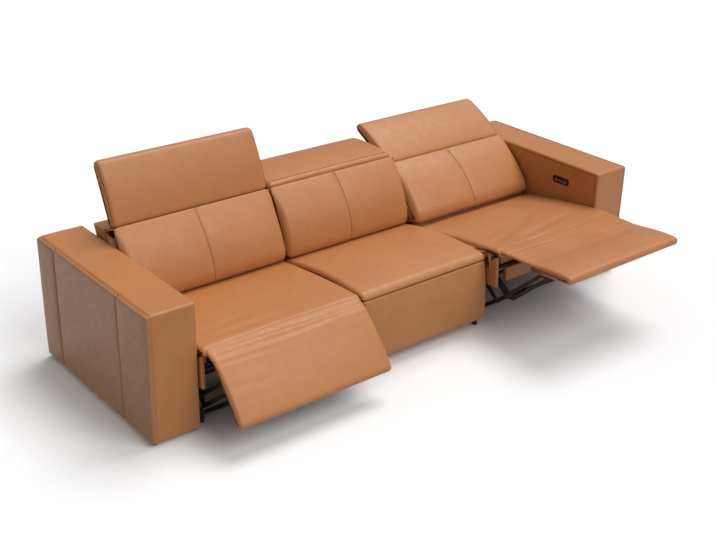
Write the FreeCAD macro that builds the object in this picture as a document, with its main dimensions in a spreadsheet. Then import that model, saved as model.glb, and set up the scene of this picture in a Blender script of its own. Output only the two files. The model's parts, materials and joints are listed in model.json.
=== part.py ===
import FreeCAD, Part
import Sketcher
import math
import os
from FreeCAD import Placement, Rotation, Vector

# Three-seat reclining sofa in millimetres. The front faces -Y, X runs along the sofa, Z is up, and the
# origin is on the floor under the middle. Both outer seats recline and have a footrest, the middle seat
# is fixed, and all three headrests fold. Recliner pieces are drawn for a seat standing at x = 0, upright
# and closed, and their placements carry them to the seat and to the pose that the sofa is kept in.

# Driving sizes, by group: alias, value, meaning
SIZES = [
    ("arm_depth", 1030, "arm, front to back"),
    ("arm_height", 645, "floor to top of arm"),
    ("arm_width", 244, "arm, inside to outside"),
    ("arm_gap", 20, "floor to underside of arm"),
    ("arm_padding", 22, "foam and leather over the arm frame"),
    ("arm_board", 18, "board of the arm frame"),
    ("arm_edge", 13, "radius of the arm's padded edges"),
    ("arm_front_seam", 255, "middle of the sofa to the arm's front outer seam"),
    ("arm_rear_seam", 340, "middle of the sofa to the arm's rear outer seam"),
    ("channel_crown", 7, "bulge of the outer arm's padded panels"),
    ("middle_width", 818, "seam to seam of the middle seat"),
    ("outer_width", 877, "middle seat's seam to the arm"),
    ("soft_gap", 2.5, "half of the gap between neighbouring cushions"),
    ("seat_front", 555, "middle of the sofa to the front of the seats"),
    ("seat_front_height", 423, "top of the seat's front roll"),
    ("seat_rear_height", 376, "seat surface at its rear end"),
    ("seat_rear", 78, "middle of the sofa back to the cushion's end"),
    ("seat_lip_height", 391, "underside of the seat's front roll"),
    ("recliner_lip", 62, "overhang of an outer seat's front roll"),
    ("middle_lip", 26, "overhang of the middle seat's front roll"),
    ("seat_roll", 32, "depth of the rounded front edge"),
    ("seat_crown", 32, "rise of the middle seat's top"),
    ("recliner_crown", 18, "rise of an outer seat's top, drawn out by its footrest"),
    ("soft_edge", 30, "run of a cushion's rounded ends"),
    ("deck_top", 312, "board that the seat cushion lies on"),
    ("deck_board", 10, "thickness of that board"),
    ("box_bottom", 219, "lower edge of the seat's wooden box"),
    ("box_wall", 18, "wall of the wooden box"),
    ("box_front", 523, "middle of the sofa to the front of the box's cheeks"),
    ("cheek_depth", 28, "cheek in front of the deck"),
    ("rail_front", 512, "middle of the sofa to the front rail"),
    ("rail_margin", 93.5, "front rail's end to the end of its seat"),
    ("rail_half", "=outer_width / 2 - rail_margin", "half length of the front rail"),
    ("panel_bottom", 54, "lower edge of the middle front panel"),
    ("panel_depth", 25, "thickness of the middle front panel"),
    ("panel_belly", 24, "middle front panel's lower part, in front of its top"),
    ("middle_frame_bottom", 40, "floor to the middle seat's frame"),
    ("back_foot", 40, "back cushion's front at the seat"),
    ("back_foot_height", 392, "back cushion's lower edge"),
    ("back_top", 198, "back cushion's front at its top"),
    ("back_top_height", 736, "top of the back cushion"),
    ("back_knee", 60, "upright lower part of the back cushion's front"),
    ("back_depth", 120, "back cushion, front to rear"),
    ("back_crown", 26, "bulge of an outer back cushion"),
    ("middle_back_crown", 36, "bulge of the middle back cushion"),
    ("cushion_seat", 0.3, "back cushion to its shell, front to rear"),
    ("shell_bottom", 300, "lower edge of the back's wooden shell"),
    ("shell_top", 690, "top of the back's wooden shell"),
    ("shell_front", 100, "shell's front edge below the cushion"),
    ("shell_rear_foot", 262, "shell's rear at its lower edge"),
    ("shell_rear_top", 400, "shell's rear at its top"),
    ("shell_board", 16, "board of the back's shell"),
    ("headrest_reach", 323, "headrest, hinge side to far edge"),
    ("headrest_front", 209, "headrest's hinge side when folded"),
    ("headrest_top", 750, "headrest's upper face when folded"),
    ("headrest_bottom", 695.5, "headrest's lower face when folded"),
    ("headrest_edge", 26, "rounding of the far edge"),
    ("headrest_fall", 9, "fall of the upper face towards the hinge"),
    ("headrest_crown", 14, "bulge of the headrest"),
    ("headrest_pivot_back", 217, "headrest pivot, y"),
    ("headrest_pivot_height", 728, "headrest pivot, z"),
    ("hinge_spacing", 400, "between the two headrest hinges"),
    ("hinge_plate", 8, "fixed hinge leaf"),
    ("hinge_arm", 4, "moving hinge leaf"),
    ("hinge_slot", 22, "slot in the headrest for a hinge"),
    ("fold_pivot_front", 638, "footrest's turning centre, distance in front of the middle"),
    ("fold_pivot_height", 481, "footrest's turning centre, height"),
    ("pad_face", 72, "turning centre to the footrest's top face"),
    ("pad_depth", 40, "thickness of the footrest pad"),
    ("pad_root", 97.5, "turning centre to the footrest's inner edge"),
    ("pad_length", 262, "footrest pad, inner edge to nose"),
    ("pad_margin", 17.5, "footrest's end to the end of its seat"),
    ("pad_half", "=outer_width / 2 - pad_margin", "half width of the footrest"),
    ("board_depth", 6, "board under the footrest pad"),
    ("board_margin", 26, "pad's edge to the board's edge"),
    ("flap_depth", 12, "leather flap between seat and footrest"),
    ("flap_margin", 12, "flap's end to the footrest's end"),
    ("eye_drop", 130, "turning centre to the footrest's link eyes, square to the pad"),
    ("near_eye", 140, "turning centre to the near eye, along the pad"),
    ("far_eye", 190, "turning centre to the far eye, along the pad"),
    ("link_slope", 39, "slope of the long bars when closed, degrees"),
    ("upper_pivot_height", 285, "height of the cranked link's seat pivot"),
    ("link_pitch", 70, "between the two link pivots on the seat plate"),
    ("link_width", 22, "width of the flat links"),
    ("link_plate", 4, "thickness of the flat links"),
    ("link_space", 2, "space between link layers"),
    ("pivot_radius", 5, "radius of the link pivots"),
    ("pivot_play", 0.08, "radial play of a pin in its hole"),
    ("torque_arm", 60, "cranked link's pivot to the torque tube"),
    ("torque_radius", 11, "radius of the torque tube"),
    ("tube_wall", 2, "wall of round steel tube"),
    ("track_margin", 44.5, "track plate to the end of its seat"),
    ("plate_step", 14, "seat plate to the track plate"),
    ("plate_offset", "=track_offset - plate_step", "middle of the seat to the seat plate"),
    ("seat_plate_bottom", 168, "lowest edge of the seat plate"),
    ("track_offset", "=outer_width / 2 - track_margin", "middle of the seat to the track plate"),
    ("track_plate", 8, "thickness of the track plate"),
    ("swing_radius", 1805, "radius of the curved track"),
    ("track_level", 185, "lowest point of the curved track above the floor"),
    ("swing_height", "=track_level + swing_radius", "centre of the curved track above the floor"),
    ("swing_back", 44, "centre of the curved track behind the middle"),
    ("shoe_half", 10, "half height of a slide shoe"),
    ("shoe_length", 30, "length of a slide shoe"),
    ("shoe_play", 0.3, "play of a shoe in the track"),
    ("front_shoe", -66, "front shoe, y"),
    ("rear_shoe", 64, "rear shoe, y"),
    ("back_pivot_back", 96, "back pivot, y"),
    ("back_pivot_height", 281, "back pivot, z"),
    ("back_arm_step", 6, "seat plate to the back's steel arm"),
    ("back_arm_offset", "=plate_offset + back_arm_step", "middle of the seat to the back's steel arm"),
    ("cross_tube_back", 20, "seat's cross tube, y"),
    ("cross_tube_height", 190, "seat's cross tube, z"),
    ("cross_tube_radius", 12, "seat's cross tube, radius"),
    ("screw_radius", 8.5, "moving rod of an actuator"),
    ("sleeve_radius", 13, "fixed sleeve of an actuator"),
    ("sleeve_play", 0.5, "play of the rod in its sleeve"),
    ("motor_radius", 24, "motor of an actuator"),
    ("motor_length", 84, "length of that motor"),
    ("footrest_screw_height", 234, "axis of the footrest's actuator"),
    ("plate_foot", 25, "floor to the track plate"),
    ("tie_bar", 30, "height of the base's tie bars"),
    ("glide_half", 8, "half width of a floor glide"),
    ("panel_length", 117, "control panel, front to back"),
    ("panel_height", 40, "control panel, height"),
    ("panel_proud", 3, "control panel in front of the leather"),
    ("panel_body", 13, "control panel inside the arm"),
    ("panel_back", -254, "middle of the control panel, y"),
    ("panel_level", 531, "middle of the control panel, z"),
    ("key_length", 24, "a control key, front to back"),
    ("key_height", 13, "a control key, height"),
    ("key_depth", 5.5, "a control key, thickness"),
    ("key_proud", 1.6, "key in front of its panel"),
    ("key_pitch", 31, "between neighbouring keys"),
    ("key_play", 0.3, "gap round a key"),
    ("key_well", 9, "depth of the wells behind the keys"),
    ("footrest_open", 91, "footrest, closed to open, degrees"),
    ("swing_open", 3.4, "seat, upright to reclined, degrees"),
    ("recline_open", 15.4, "back against seat, upright to reclined, degrees"),
    ("left_footrest", 40, "left footrest in the kept pose, degrees open"),
    ("left_headrest", 64, "left headrest in the kept pose, degrees up"),
    ("right_headrest", 47, "right headrest in the kept pose, degrees up"),
]

doc = FreeCAD.newDocument("reclining_sofa")
sheet = doc.addObject("Spreadsheet::Sheet", "Sizes")
for row, (alias, value, meaning) in enumerate(SIZES, 1):
    sheet.set(f"A{row}", str(value))
    sheet.set(f"B{row}", meaning)
    sheet.setAlias(f"A{row}", alias)
doc.recompute()


def mm(alias):
    """A size from the sheet."""
    return float(sheet.get(alias))


# Named nodes of the sofa, in the order they are made
nodes = []


# Modelling helpers

def keep(obj, label, pose=None):
    """Names an object as a piece of the sofa and puts it in its pose."""
    obj.Label = label
    if pose is not None:
        obj.Placement = pose
    nodes.append(obj)
    return obj


def bind(obj, expressions):
    for target, expression in expressions.items():
        obj.setExpression(target, str(expression))
    return obj


def bind_place(obj, at):
    return bind(obj, {f"Placement.Base.{axis}": at[i] for i, axis in enumerate("xyz")})


def block(name, at, size):
    """Box with its low corner and its three sides given as expressions."""
    obj = doc.addObject("Part::Box", name)
    bind(obj, {"Length": size[0], "Width": size[1], "Height": size[2]})
    return bind_place(obj, at)


def centred(name, half, y, z, depth, height):
    """Box that is symmetric about x = 0."""
    return block(name, (f"-({half})", y, z), (f"2 * ({half})", depth, height))


def bar_x(name, radius, start, end, y, z):
    """Round bar along X."""
    obj = doc.addObject("Part::Cylinder", name)
    obj.Placement = Placement(Vector(0, 0, 0), Rotation(Vector(0, 1, 0), 90))
    bind(obj, {"Radius": radius, "Height": f"({end}) - ({start})"})
    return bind_place(obj, (start, y, z))


def bar_y(name, radius, x, start, end, z):
    """Round bar along Y."""
    obj = doc.addObject("Part::Cylinder", name)
    obj.Placement = Placement(Vector(0, 0, 0), Rotation(Vector(1, 0, 0), -90))
    bind(obj, {"Radius": radius, "Height": f"({end}) - ({start})"})
    return bind_place(obj, (x, start, z))


def faceted_x(name, radius, start, end, y, z, sides=12):
    """Bar along X with flat sides, for the many small pins."""
    obj = doc.addObject("Part::Prism", name)
    obj.Polygon = sides
    obj.Placement = Placement(Vector(0, 0, 0), Rotation(Vector(0, 1, 0), 90))
    bind(obj, {"Circumradius": radius, "Height": f"({end}) - ({start})"})
    return bind_place(obj, (start, y, z))


def fuse(name, parts):
    obj = doc.addObject("Part::MultiFuse", name)
    obj.Shapes = parts
    return obj


def cut(name, base, tool):
    obj = doc.addObject("Part::Cut", name)
    obj.Base = base
    obj.Tool = tool
    return obj


def group(name, parts):
    obj = doc.addObject("Part::Compound", name)
    obj.Links = parts
    return obj


def mirrored(part):
    """The same piece on the other side of x = 0."""
    obj = doc.addObject("Part::Mirroring", part.Name + "_mirror")
    obj.Source = part
    obj.Normal = Vector(1, 0, 0)
    return obj


def both_sides(name, part):
    return group(name, [part, mirrored(part)])


def shape(name, solid):
    obj = doc.addObject("Part::Feature", name)
    obj.Shape = solid
    return obj


def at_yz(point, x=0):
    return Vector(x, point[0], point[1])


def new_sketch(body, name):
    """Sketch in the body's YZ plane, so its coordinates are the sofa's y and z."""
    sketch = body.newObject("Sketcher::SketchObject", name)
    plane = next(f for f in body.Origin.OriginFeatures if f.Role == "YZ_Plane")
    sketch.AttachmentSupport = [(plane, "")]
    sketch.MapMode = "FlatFace"
    return sketch


def fix_radius(sketch, circle, name, expression):
    index = sketch.addConstraint(Sketcher.Constraint("Radius", circle, 10.0))
    sketch.renameConstraint(index, name)
    sketch.setExpression("Constraints." + name, expression)


def plate(name, outline, start, thickness, holes=()):
    """Flat plate in the YZ plane. The outline is lines and three-point arcs, in order; holes are round."""
    body = doc.addObject("PartDesign::Body", name)
    sketch = new_sketch(body, name + "_outline")
    for edge in outline:
        ends = [Vector(p[0], p[1], 0) for p in edge]
        if len(edge) == 2:
            sketch.addGeometry(Part.LineSegment(*ends))
        else:
            sketch.addGeometry(Part.Arc(*ends))
    for number, (centre, radius) in enumerate(holes):
        circle = Part.Circle(Vector(centre[0], centre[1], 0), Vector(0, 0, 1), 10)
        fix_radius(sketch, sketch.addGeometry(circle), f"hole{number}", radius)
    pad = body.newObject("PartDesign::Pad", name + "_pad")
    pad.Profile = sketch
    bind(pad, {"Length": thickness})
    bind(body, {"Placement.Base.x": start})
    return body


def polygon(points):
    return [(points[i], points[(i + 1) % len(points)]) for i in range(len(points))]


def round_hull(centres, radius):
    """Outline round equal circles whose centres run anticlockwise."""
    edges = []
    count = len(centres)
    for i in range(count):
        before, here, after = centres[i - 1], centres[i], centres[(i + 1) % count]
        turns = [math.atan2(b[1] - a[1], b[0] - a[0]) - math.pi / 2 for a, b in ((before, here), (here, after))]
        while turns[1] < turns[0]:
            turns[1] += 2 * math.pi
        spots = [turns[0], sum(turns) / 2, turns[1]]
        edges.append(tuple(move(here, radius * math.cos(a), radius * math.sin(a)) for a in spots))
        side = turns[1]
        offset = (radius * math.cos(side), radius * math.sin(side))
        edges.append((move(here, *offset), move(after, *offset)))
    return edges


def clipped_hull(centres, radius):
    """Like round_hull, with two flat corners in place of each arc."""
    points = []
    for edge in round_hull(centres, radius):
        if len(edge) == 3:
            middle, spread = edge[1], 0.42
            points += [edge[0]]
            for end in (edge[0], edge[2]):
                points.append((middle[0] + spread * (end[0] - middle[0]), middle[1] + spread * (end[1] - middle[1])))
            points += [edge[2]]
    return polygon(points)


def move(point, dy, dz):
    return (point[0] + dy, point[1] + dz)


def straight_link(name, length, layer_start):
    """Flat link with round ends, its hole at the origin and its far end on +Y."""
    body = doc.addObject("PartDesign::Body", name)
    sketch = new_sketch(body, name + "_outline")
    half = mm("link_width") / 2
    ends = [Vector(0, 0, 0), Vector(length, 0, 0)]
    turn_start = [math.pi / 2, -math.pi / 2]
    arcs = []
    for end, start in zip(ends, turn_start):
        circle = Part.Circle(end, Vector(0, 0, 1), half)
        arcs.append(sketch.addGeometry(Part.ArcOfCircle(circle, start, start + math.pi)))
    low = sketch.addGeometry(Part.LineSegment(Vector(0, -half, 0), Vector(length, -half, 0)))
    high = sketch.addGeometry(Part.LineSegment(Vector(length, half, 0), Vector(0, half, 0)))
    rule = Sketcher.Constraint
    sketch.addConstraint(rule("Coincident", arcs[0], 3, -1, 1))
    sketch.addConstraint(rule("PointOnObject", arcs[1], 3, -1))
    for first, second in ((arcs[0], low), (low, arcs[1]), (arcs[1], high), (high, arcs[0])):
        sketch.addConstraint(rule("Tangent", first, 2, second, 1))
    sketch.addConstraint(rule("Horizontal", low))
    reach = sketch.addConstraint(rule("DistanceX", arcs[0], 3, arcs[1], 3, length))
    sketch.renameConstraint(reach, "reach")
    fix_radius(sketch, arcs[0], "half", "Sizes.link_width / 2")
    hole = sketch.addGeometry(Part.Circle(ends[0], Vector(0, 0, 1), mm("pivot_radius")))
    sketch.addConstraint(rule("Coincident", hole, 3, arcs[0], 3))
    fix_radius(sketch, hole, "hole", "Sizes.pivot_radius + Sizes.pivot_play")
    pad = body.newObject("PartDesign::Pad", name + "_pad")
    pad.Profile = sketch
    bind(pad, {"Length": "Sizes.link_plate"})
    bind(body, {"Placement.Base.x": layer_start})
    return body


# Soft forms: a ruled skin through cross-sections along X. A corner is (y, z, bulge of the side after it,
# and how far it is drawn in at the cushion's ends, in y and in z).

def soft_section(corners, x, inset, swell):
    points = [(y + inset * dy, z + inset * dz) for y, z, bulge, dy, dz in corners]
    edges = []
    for i, corner in enumerate(corners):
        bulge = corner[2]
        start, end = points[i], points[(i + 1) % len(points)]
        if not bulge:
            edges.append(Part.LineSegment(at_yz(start, x), at_yz(end, x)).toShape())
            continue
        length = math.hypot(end[0] - start[0], end[1] - start[1])
        out = ((end[1] - start[1]) / length, -(end[0] - start[0]) / length)
        rise = bulge * swell
        top = ((start[0] + end[0]) / 2 + out[0] * rise, (start[1] + end[1]) / 2 + out[1] * rise)
        edges.append(Part.Arc(at_yz(start, x), at_yz(top, x), at_yz(end, x)).toShape())
    return Part.Wire(edges)


# Cross-sections of a rounded end: share of the soft edge, share of the drawing in
END_STATIONS = [(0, 1), (0.3, 0.3), (1, 0)]


def soft_form(name, corners, half_width, edge_swell):
    """Crowned cushion whose corners run anticlockwise seen from +X. The crown falls to a share at its ends."""
    rows = [(mm("soft_edge") * share - half_width, inset, edge_swell) for share, inset in END_STATIONS]
    rows += [(0, 0, 1)] + [(-x, inset, swell) for x, inset, swell in reversed(rows)]
    wires = [soft_section(corners, x, inset, swell) for x, inset, swell in rows]
    return shape(name, Part.makeLoft(wires, True, True))


# Poses: turns about X through a pivot given as (y, z), in the frame of a seat that stands at x = 0

def turn(pivot, degrees):
    return Placement(Vector(0, 0, 0), Rotation(Vector(1, 0, 0), degrees), at_yz(pivot))


def turned(point, pivot, degrees):
    moved = turn(pivot, degrees).multVec(at_yz(point))
    return (moved.y, moved.z)


def slide(dy, dz=0):
    return Placement(Vector(0, dy, dz), Rotation())


def chain(*steps):
    result = Placement()
    for step in steps:
        result = result.multiply(step)
    return result


# Fixed points of a recliner, in its upright and closed state
FOLD = (-mm("fold_pivot_front"), mm("fold_pivot_height"))
SWING = (mm("swing_back"), mm("swing_height"))
BACK_PIVOT = (mm("back_pivot_back"), mm("back_pivot_height"))
HEADREST_PIVOT = (mm("headrest_pivot_back"), mm("headrest_pivot_height"))
NEAR_EYE = move(FOLD, mm("eye_drop"), -mm("near_eye"))
FAR_EYE = move(FOLD, mm("eye_drop"), -mm("far_eye"))
SLOPE = math.radians(mm("link_slope"))
UPPER_REACH = (FOLD[1] - mm("upper_pivot_height")) / math.sin(SLOPE)
UPPER_PIVOT = move(FOLD, UPPER_REACH * math.cos(SLOPE), -UPPER_REACH * math.sin(SLOPE))
LOWER_PIVOT = move(UPPER_PIVOT, mm("link_pitch") * math.cos(SLOPE), -mm("link_pitch") * math.sin(SLOPE))


def link_end(pivot, eye):
    """The far hole of a link that stays parallel to the line from the turning centre to an eye."""
    return (pivot[0] + eye[0] - FOLD[0], pivot[1] + eye[1] - FOLD[1])


LOWER_END = link_end(LOWER_PIVOT, NEAR_EYE)
CRANK_NEAR = link_end(UPPER_PIVOT, NEAR_EYE)
CRANK_FAR = link_end(UPPER_PIVOT, FAR_EYE)
TORQUE_HALF = math.radians(mm("footrest_open") / 2)
TORQUE_TUBE = move(UPPER_PIVOT, mm("torque_arm") * math.sin(TORQUE_HALF), -mm("torque_arm") * math.cos(TORQUE_HALF))
# Travel of the footrest's screw for each radian, fitted to the torque tube's sine
SCREW_RATE = mm("torque_arm") * math.cos(TORQUE_HALF / 2)
SCREW_ERROR = mm("torque_arm") * (1 - math.cos(TORQUE_HALF)) / 12
SCREW_START = UPPER_PIVOT[0] + SCREW_RATE * TORQUE_HALF
TRACK_RATE = SWING[1] - mm("cross_tube_height")

# Layers of flat steel, each as the expression of its inner face
LAYER_STEP = "(Sizes.link_plate + Sizes.link_space)"
LAYERS = [f"Sizes.plate_offset - {number} * {LAYER_STEP}" for number in range(4)]

BACK_LEAN = (mm("back_top") - mm("back_foot")) / (mm("back_top_height") - mm("back_foot_height"))
OUTER_CENTRE = mm("middle_width") / 2 + mm("outer_width") / 2
OUTER_HALF = "(Sizes.outer_width / 2)"
MIDDLE_HALF = "(Sizes.middle_width / 2)"


class Seat:
    """Where an outer seat stands and how far each of its motions is open in the kept pose."""

    def __init__(self, side, centre, footrest, recline, headrest):
        self.side = side
        self.footrest = footrest
        self.place = Placement(Vector(centre, 0, 0), Rotation())
        self.seat = chain(self.place, turn(SWING, -recline * mm("swing_open")))
        self.fold = chain(self.seat, turn(FOLD, -footrest))
        self.back = chain(self.seat, turn(BACK_PIVOT, -recline * mm("recline_open")))
        self.head = chain(self.back, turn(HEADREST_PIVOT, headrest))
        self.recline_travel = TRACK_RATE * math.sin(math.radians(recline * mm("swing_open")))

    def bar(self, eye):
        """A long bar keeps its slope and follows its eye."""
        here = turned(eye, FOLD, -self.footrest)
        return chain(self.seat, slide(here[0] - eye[0], here[1] - eye[1]))


SEATS = [
    Seat("left", -OUTER_CENTRE, mm("left_footrest"), 0, mm("left_headrest")),
    Seat("right", OUTER_CENTRE, mm("footrest_open"), 1, mm("right_headrest")),
]


# Seat cushions and the box that carries them

def seat_corners(overhang, crown):
    front, lip = -mm("seat_front"), mm("seat_lip_height")
    inner = front + overhang
    base = mm("deck_top") + 0.3
    return [
        (inner, base, 0, 0, 0),
        (mm("seat_rear"), base, 0, 0, 0),
        (mm("seat_rear"), mm("seat_rear_height"), crown, 0, -6),
        (front + mm("seat_roll"), mm("seat_front_height"), 9, 8, -10),
        (front, lip, 0, 10, 0),
        (inner, lip - 4, 0, 0, 0),
    ]


def seat_cushion(name, half_width, overhang, crown, edge_swell):
    return soft_form(name, seat_corners(overhang, crown), half_width - mm("soft_gap"), edge_swell)


def bar_slots(name):
    """Room in the deck and the cushion for the long bars of the closed footrest."""
    start = f"{LAYERS[2]} - Sizes.link_space"
    slot = block(
        name,
        (start, "-Sizes.box_front", "Sizes.deck_top - Sizes.deck_board - 1"),
        ("Sizes.link_plate + 2 * Sizes.link_space + 3", "88", "Sizes.deck_board + 37"),
    )
    return both_sides(name + "_pair", slot)


def recliner_cushion(seat):
    """Foam and leather block of an outer seat, slotted underneath for the footrest's bars."""
    name = seat.side + "_seat_cushion"
    form = seat_cushion(name + "_form", mm("outer_width") / 2, mm("recliner_lip"), mm("recliner_crown"), 0.5)
    keep(cut(name, form, bar_slots(name + "_slot")), name, seat.seat)


def seat_box(seat):
    name = seat.side + "_seat_box"
    half = f"({OUTER_HALF} - 2.5 * Sizes.soft_gap)"
    wall_height = "Sizes.deck_top - Sizes.deck_board - Sizes.box_bottom"
    wall = block(
        name + "_wall",
        (f"{half} - Sizes.box_wall", "-Sizes.box_front", "Sizes.box_bottom"),
        ("Sizes.box_wall", "Sizes.box_front + Sizes.seat_rear", wall_height),
    )
    cheek = block(
        name + "_cheek",
        (f"{half} - Sizes.box_wall", "-Sizes.box_front", "Sizes.box_bottom"),
        ("Sizes.box_wall", "Sizes.cheek_depth", "Sizes.seat_lip_height - 6 - Sizes.box_bottom"),
    )
    deck = centred(
        name + "_deck",
        half,
        "-Sizes.box_front + Sizes.cheek_depth",
        "Sizes.deck_top - Sizes.deck_board",
        "Sizes.box_front - Sizes.cheek_depth + Sizes.seat_rear",
        "Sizes.deck_board",
    )
    slotted = cut(name + "_slotted", deck, bar_slots(name + "_slot"))
    rail = centred(
        name + "_rail",
        "Sizes.rail_half",
        "-Sizes.rail_front",
        "Sizes.box_bottom + 13",
        "Sizes.box_wall",
        wall_height + " - 13",
    )
    sides = [wall, mirrored(wall), cheek, mirrored(cheek)]
    keep(fuse(name, sides + [slotted, rail]), name, seat.seat)


# Steel under an outer seat

def on_track(y, radius):
    """Point on a circle round the swing centre."""
    return (y, SWING[1] - math.sqrt(radius ** 2 - (y - SWING[0]) ** 2))


def curved_strip(first, last, half):
    """Outline of a strip that follows the track from y = first to y = last."""
    middle = (first + last) / 2
    low, high = mm("swing_radius") + half, mm("swing_radius") - half
    return [
        (on_track(first, low), on_track(middle, low), on_track(last, low)),
        (on_track(last, low), on_track(last, high)),
        (on_track(last, high), on_track(middle, high), on_track(first, high)),
        (on_track(first, high), on_track(first, low)),
    ]


def pivot_pin(name, point, start, end):
    return faceted_x(name, "Sizes.pivot_radius", start, end, point[0], point[1])


def seat_carriage(seat):
    """Two side plates, the cross tube, the pivot pins and the shoes that slide in the tracks."""
    name = seat.side + "_seat_carriage"
    top = mm("deck_top") - mm("deck_board")
    low = mm("seat_plate_bottom")
    ear = 14
    pivot_y, pivot_z = BACK_PIVOT
    outline = polygon([
        (UPPER_PIVOT[0] - 34, top),
        (UPPER_PIVOT[0] - 34, UPPER_PIVOT[1] - 26),
        (LOWER_PIVOT[0] - 26, LOWER_PIVOT[1] - 26),
        (mm("front_shoe") - 52, LOWER_PIVOT[1] - 26),
        (mm("front_shoe") - 20, low),
        (mm("rear_shoe") + 10, low),
        (pivot_y + ear, pivot_z - ear),
        (pivot_y + ear, pivot_z + ear - 6),
        (pivot_y + ear - 8, pivot_z + ear),
        (pivot_y - ear, top),
    ])
    side = plate(name + "_side", outline, LAYERS[0], "Sizes.link_plate")
    inner_end = f"{LAYERS[1]} - 1"
    long_end = f"{LAYERS[3]} - 1"
    outer_face = f"{LAYERS[0]} + Sizes.link_plate"
    parts = [
        side,
        pivot_pin(name + "_lower_pin", LOWER_PIVOT, inner_end, LAYERS[0]),
        pivot_pin(name + "_upper_pin", UPPER_PIVOT, long_end, LAYERS[0]),
        faceted_x(
            name + "_back_pin",
            "Sizes.pivot_radius + 1",
            outer_face,
            "Sizes.back_arm_offset + Sizes.link_plate + 1.5",
            "Sizes.back_pivot_back",
            "Sizes.back_pivot_height",
        ),
    ]
    for which in ("front", "rear"):
        spot = mm(which + "_shoe")
        half = mm("shoe_length") / 2
        outline = curved_strip(spot - half, spot + half, mm("shoe_half"))
        parts.append(plate(f"{name}_{which}_shoe", outline, "Sizes.track_offset", "Sizes.track_plate"))
        height = on_track(spot, mm("swing_radius"))[1]
        stem = block(f"{name}_{which}_stem", (outer_face, spot - 7, height - 5), ("0", 14, 10))
        parts.append(bind(stem, {"Length": f"Sizes.track_offset - ({outer_face})"}))
    tube = bar_x(
        name + "_tube",
        "Sizes.cross_tube_radius",
        f"-({LAYERS[0]})",
        LAYERS[0],
        "Sizes.cross_tube_back",
        "Sizes.cross_tube_height",
    )
    keep(fuse(name, parts + [mirrored(part) for part in parts] + [tube]), name, seat.seat)


def base_rails(seat):
    """Track plates, tie bars and the bar that carries the recline motor."""
    name = seat.side + "_base_rails"
    foot = mm("plate_foot")
    travel = TRACK_RATE * math.sin(math.radians(mm("swing_open"))) + 1
    end_room = mm("shoe_length") / 2 + 1
    first = mm("front_shoe") - end_room - travel
    last = mm("rear_shoe") + end_room
    crest = on_track(SWING[0], mm("swing_radius"))[1] + 30
    outline = polygon([
        (-470, foot),
        (300, foot),
        (300, foot + 100),
        (190, foot + 100),
        (last + 24, crest),
        (first - 24, crest),
        (first - 60, foot + 60),
        (-470, foot + 45),
    ])
    slot = curved_strip(first, last, mm("shoe_half") + mm("shoe_play"))
    side = plate(name + "_side", outline + slot, "Sizes.track_offset", "Sizes.track_plate")
    reach = "Sizes.outer_width / 2"
    inside = "Sizes.track_offset + 1"
    bars = [
        centred(name + "_front_tie", inside, -440, 26, 30, 5),
        centred(name + "_middle_tie", reach, -150, 30, "Sizes.tie_bar", "Sizes.tie_bar"),
        centred(name + "_rear_tie", reach, 200, 30, "Sizes.tie_bar", "Sizes.tie_bar"),
        centred(name + "_motor_bar", inside, 240, 100, "Sizes.tie_bar", "Sizes.tie_bar"),
    ]
    keep(fuse(name, [side, mirrored(side)] + bars), name, seat.place)


# Footrest: pad, board with link brackets, links and bars

def pad_corners():
    """Closed pad, hanging with its top face to the front."""
    face = FOLD[0] + mm("pad_face")
    back = face + mm("pad_depth")
    root = FOLD[1] - mm("pad_root")
    nose = root - mm("pad_length")
    curl = mm("pad_depth") / 2
    return [
        (face, nose + curl, 7, 10, 6),
        (face + curl, nose, 4, 0, 8),
        (back, nose + curl * 0.7, 0, 0, 6),
        (back, root, 0, 0, 0),
        (face, root, 6, 10, 0),
    ]


def footrest_pad(seat):
    name = seat.side + "_footrest_pad"
    keep(soft_form(name, pad_corners(), mm("pad_half"), 0.7), name, seat.fold)


def footrest_frame(seat):
    """Board under the pad, and a steel bracket with two link eyes near each side."""
    name = seat.side + "_footrest_frame"
    back = FOLD[0] + mm("pad_face") + mm("pad_depth")
    root = FOLD[1] - mm("pad_root")
    low = root - mm("pad_length") + mm("board_margin") + mm("pad_depth") / 2
    board = centred(
        name + "_board",
        "Sizes.pad_half - Sizes.board_margin",
        back,
        low,
        "Sizes.board_depth",
        root - low - mm("board_margin"),
    )
    board_back = back + mm("board_depth")
    eye_end = NEAR_EYE[0] + mm("link_width") / 2
    outline = polygon([
        (board_back, FAR_EYE[1] - 34),
        (eye_end - 6, FAR_EYE[1] - 16),
        (eye_end, FAR_EYE[1] - 8),
        (eye_end, NEAR_EYE[1] + 8),
        (eye_end - 6, NEAR_EYE[1] + 16),
        (board_back, root - mm("board_margin") - 8),
    ])
    side = plate(name + "_bracket", outline, LAYERS[1], "Sizes.link_plate")
    pins = [
        pivot_pin(f"{name}_pin{number}", eye, f"{LAYERS[2]} - 1", LAYERS[1])
        for number, eye in enumerate((NEAR_EYE, FAR_EYE))
    ]
    parts = [side] + pins
    keep(fuse(name, [board] + parts + [mirrored(part) for part in parts]), name, seat.fold)


def footrest_flap(seat):
    """Leather that closes the gap between the seat's front roll and the footrest, in the kept pose."""
    name = seat.side + "_footrest_flap"
    front, lip = -mm("seat_front") - 0.4, mm("seat_lip_height")
    depth = mm("flap_depth")
    face = FOLD[0] + mm("pad_face") + 1
    root = FOLD[1] - mm("pad_root") + 0.4
    outer = turned((face, root), FOLD, -seat.footrest)
    inner = turned((face + depth, root), FOLD, -seat.footrest)
    corners = [
        (front, lip - 3, 0, 0, 1),
        (front, lip - 3 + depth, 6, 0, -1),
        (outer[0], outer[1], 0, 0, 0),
        (inner[0], inner[1], 0, 0, 0),
    ]
    keep(soft_form(name, corners, mm("pad_half") - mm("flap_margin"), 0.9), name, seat.seat)


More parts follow.
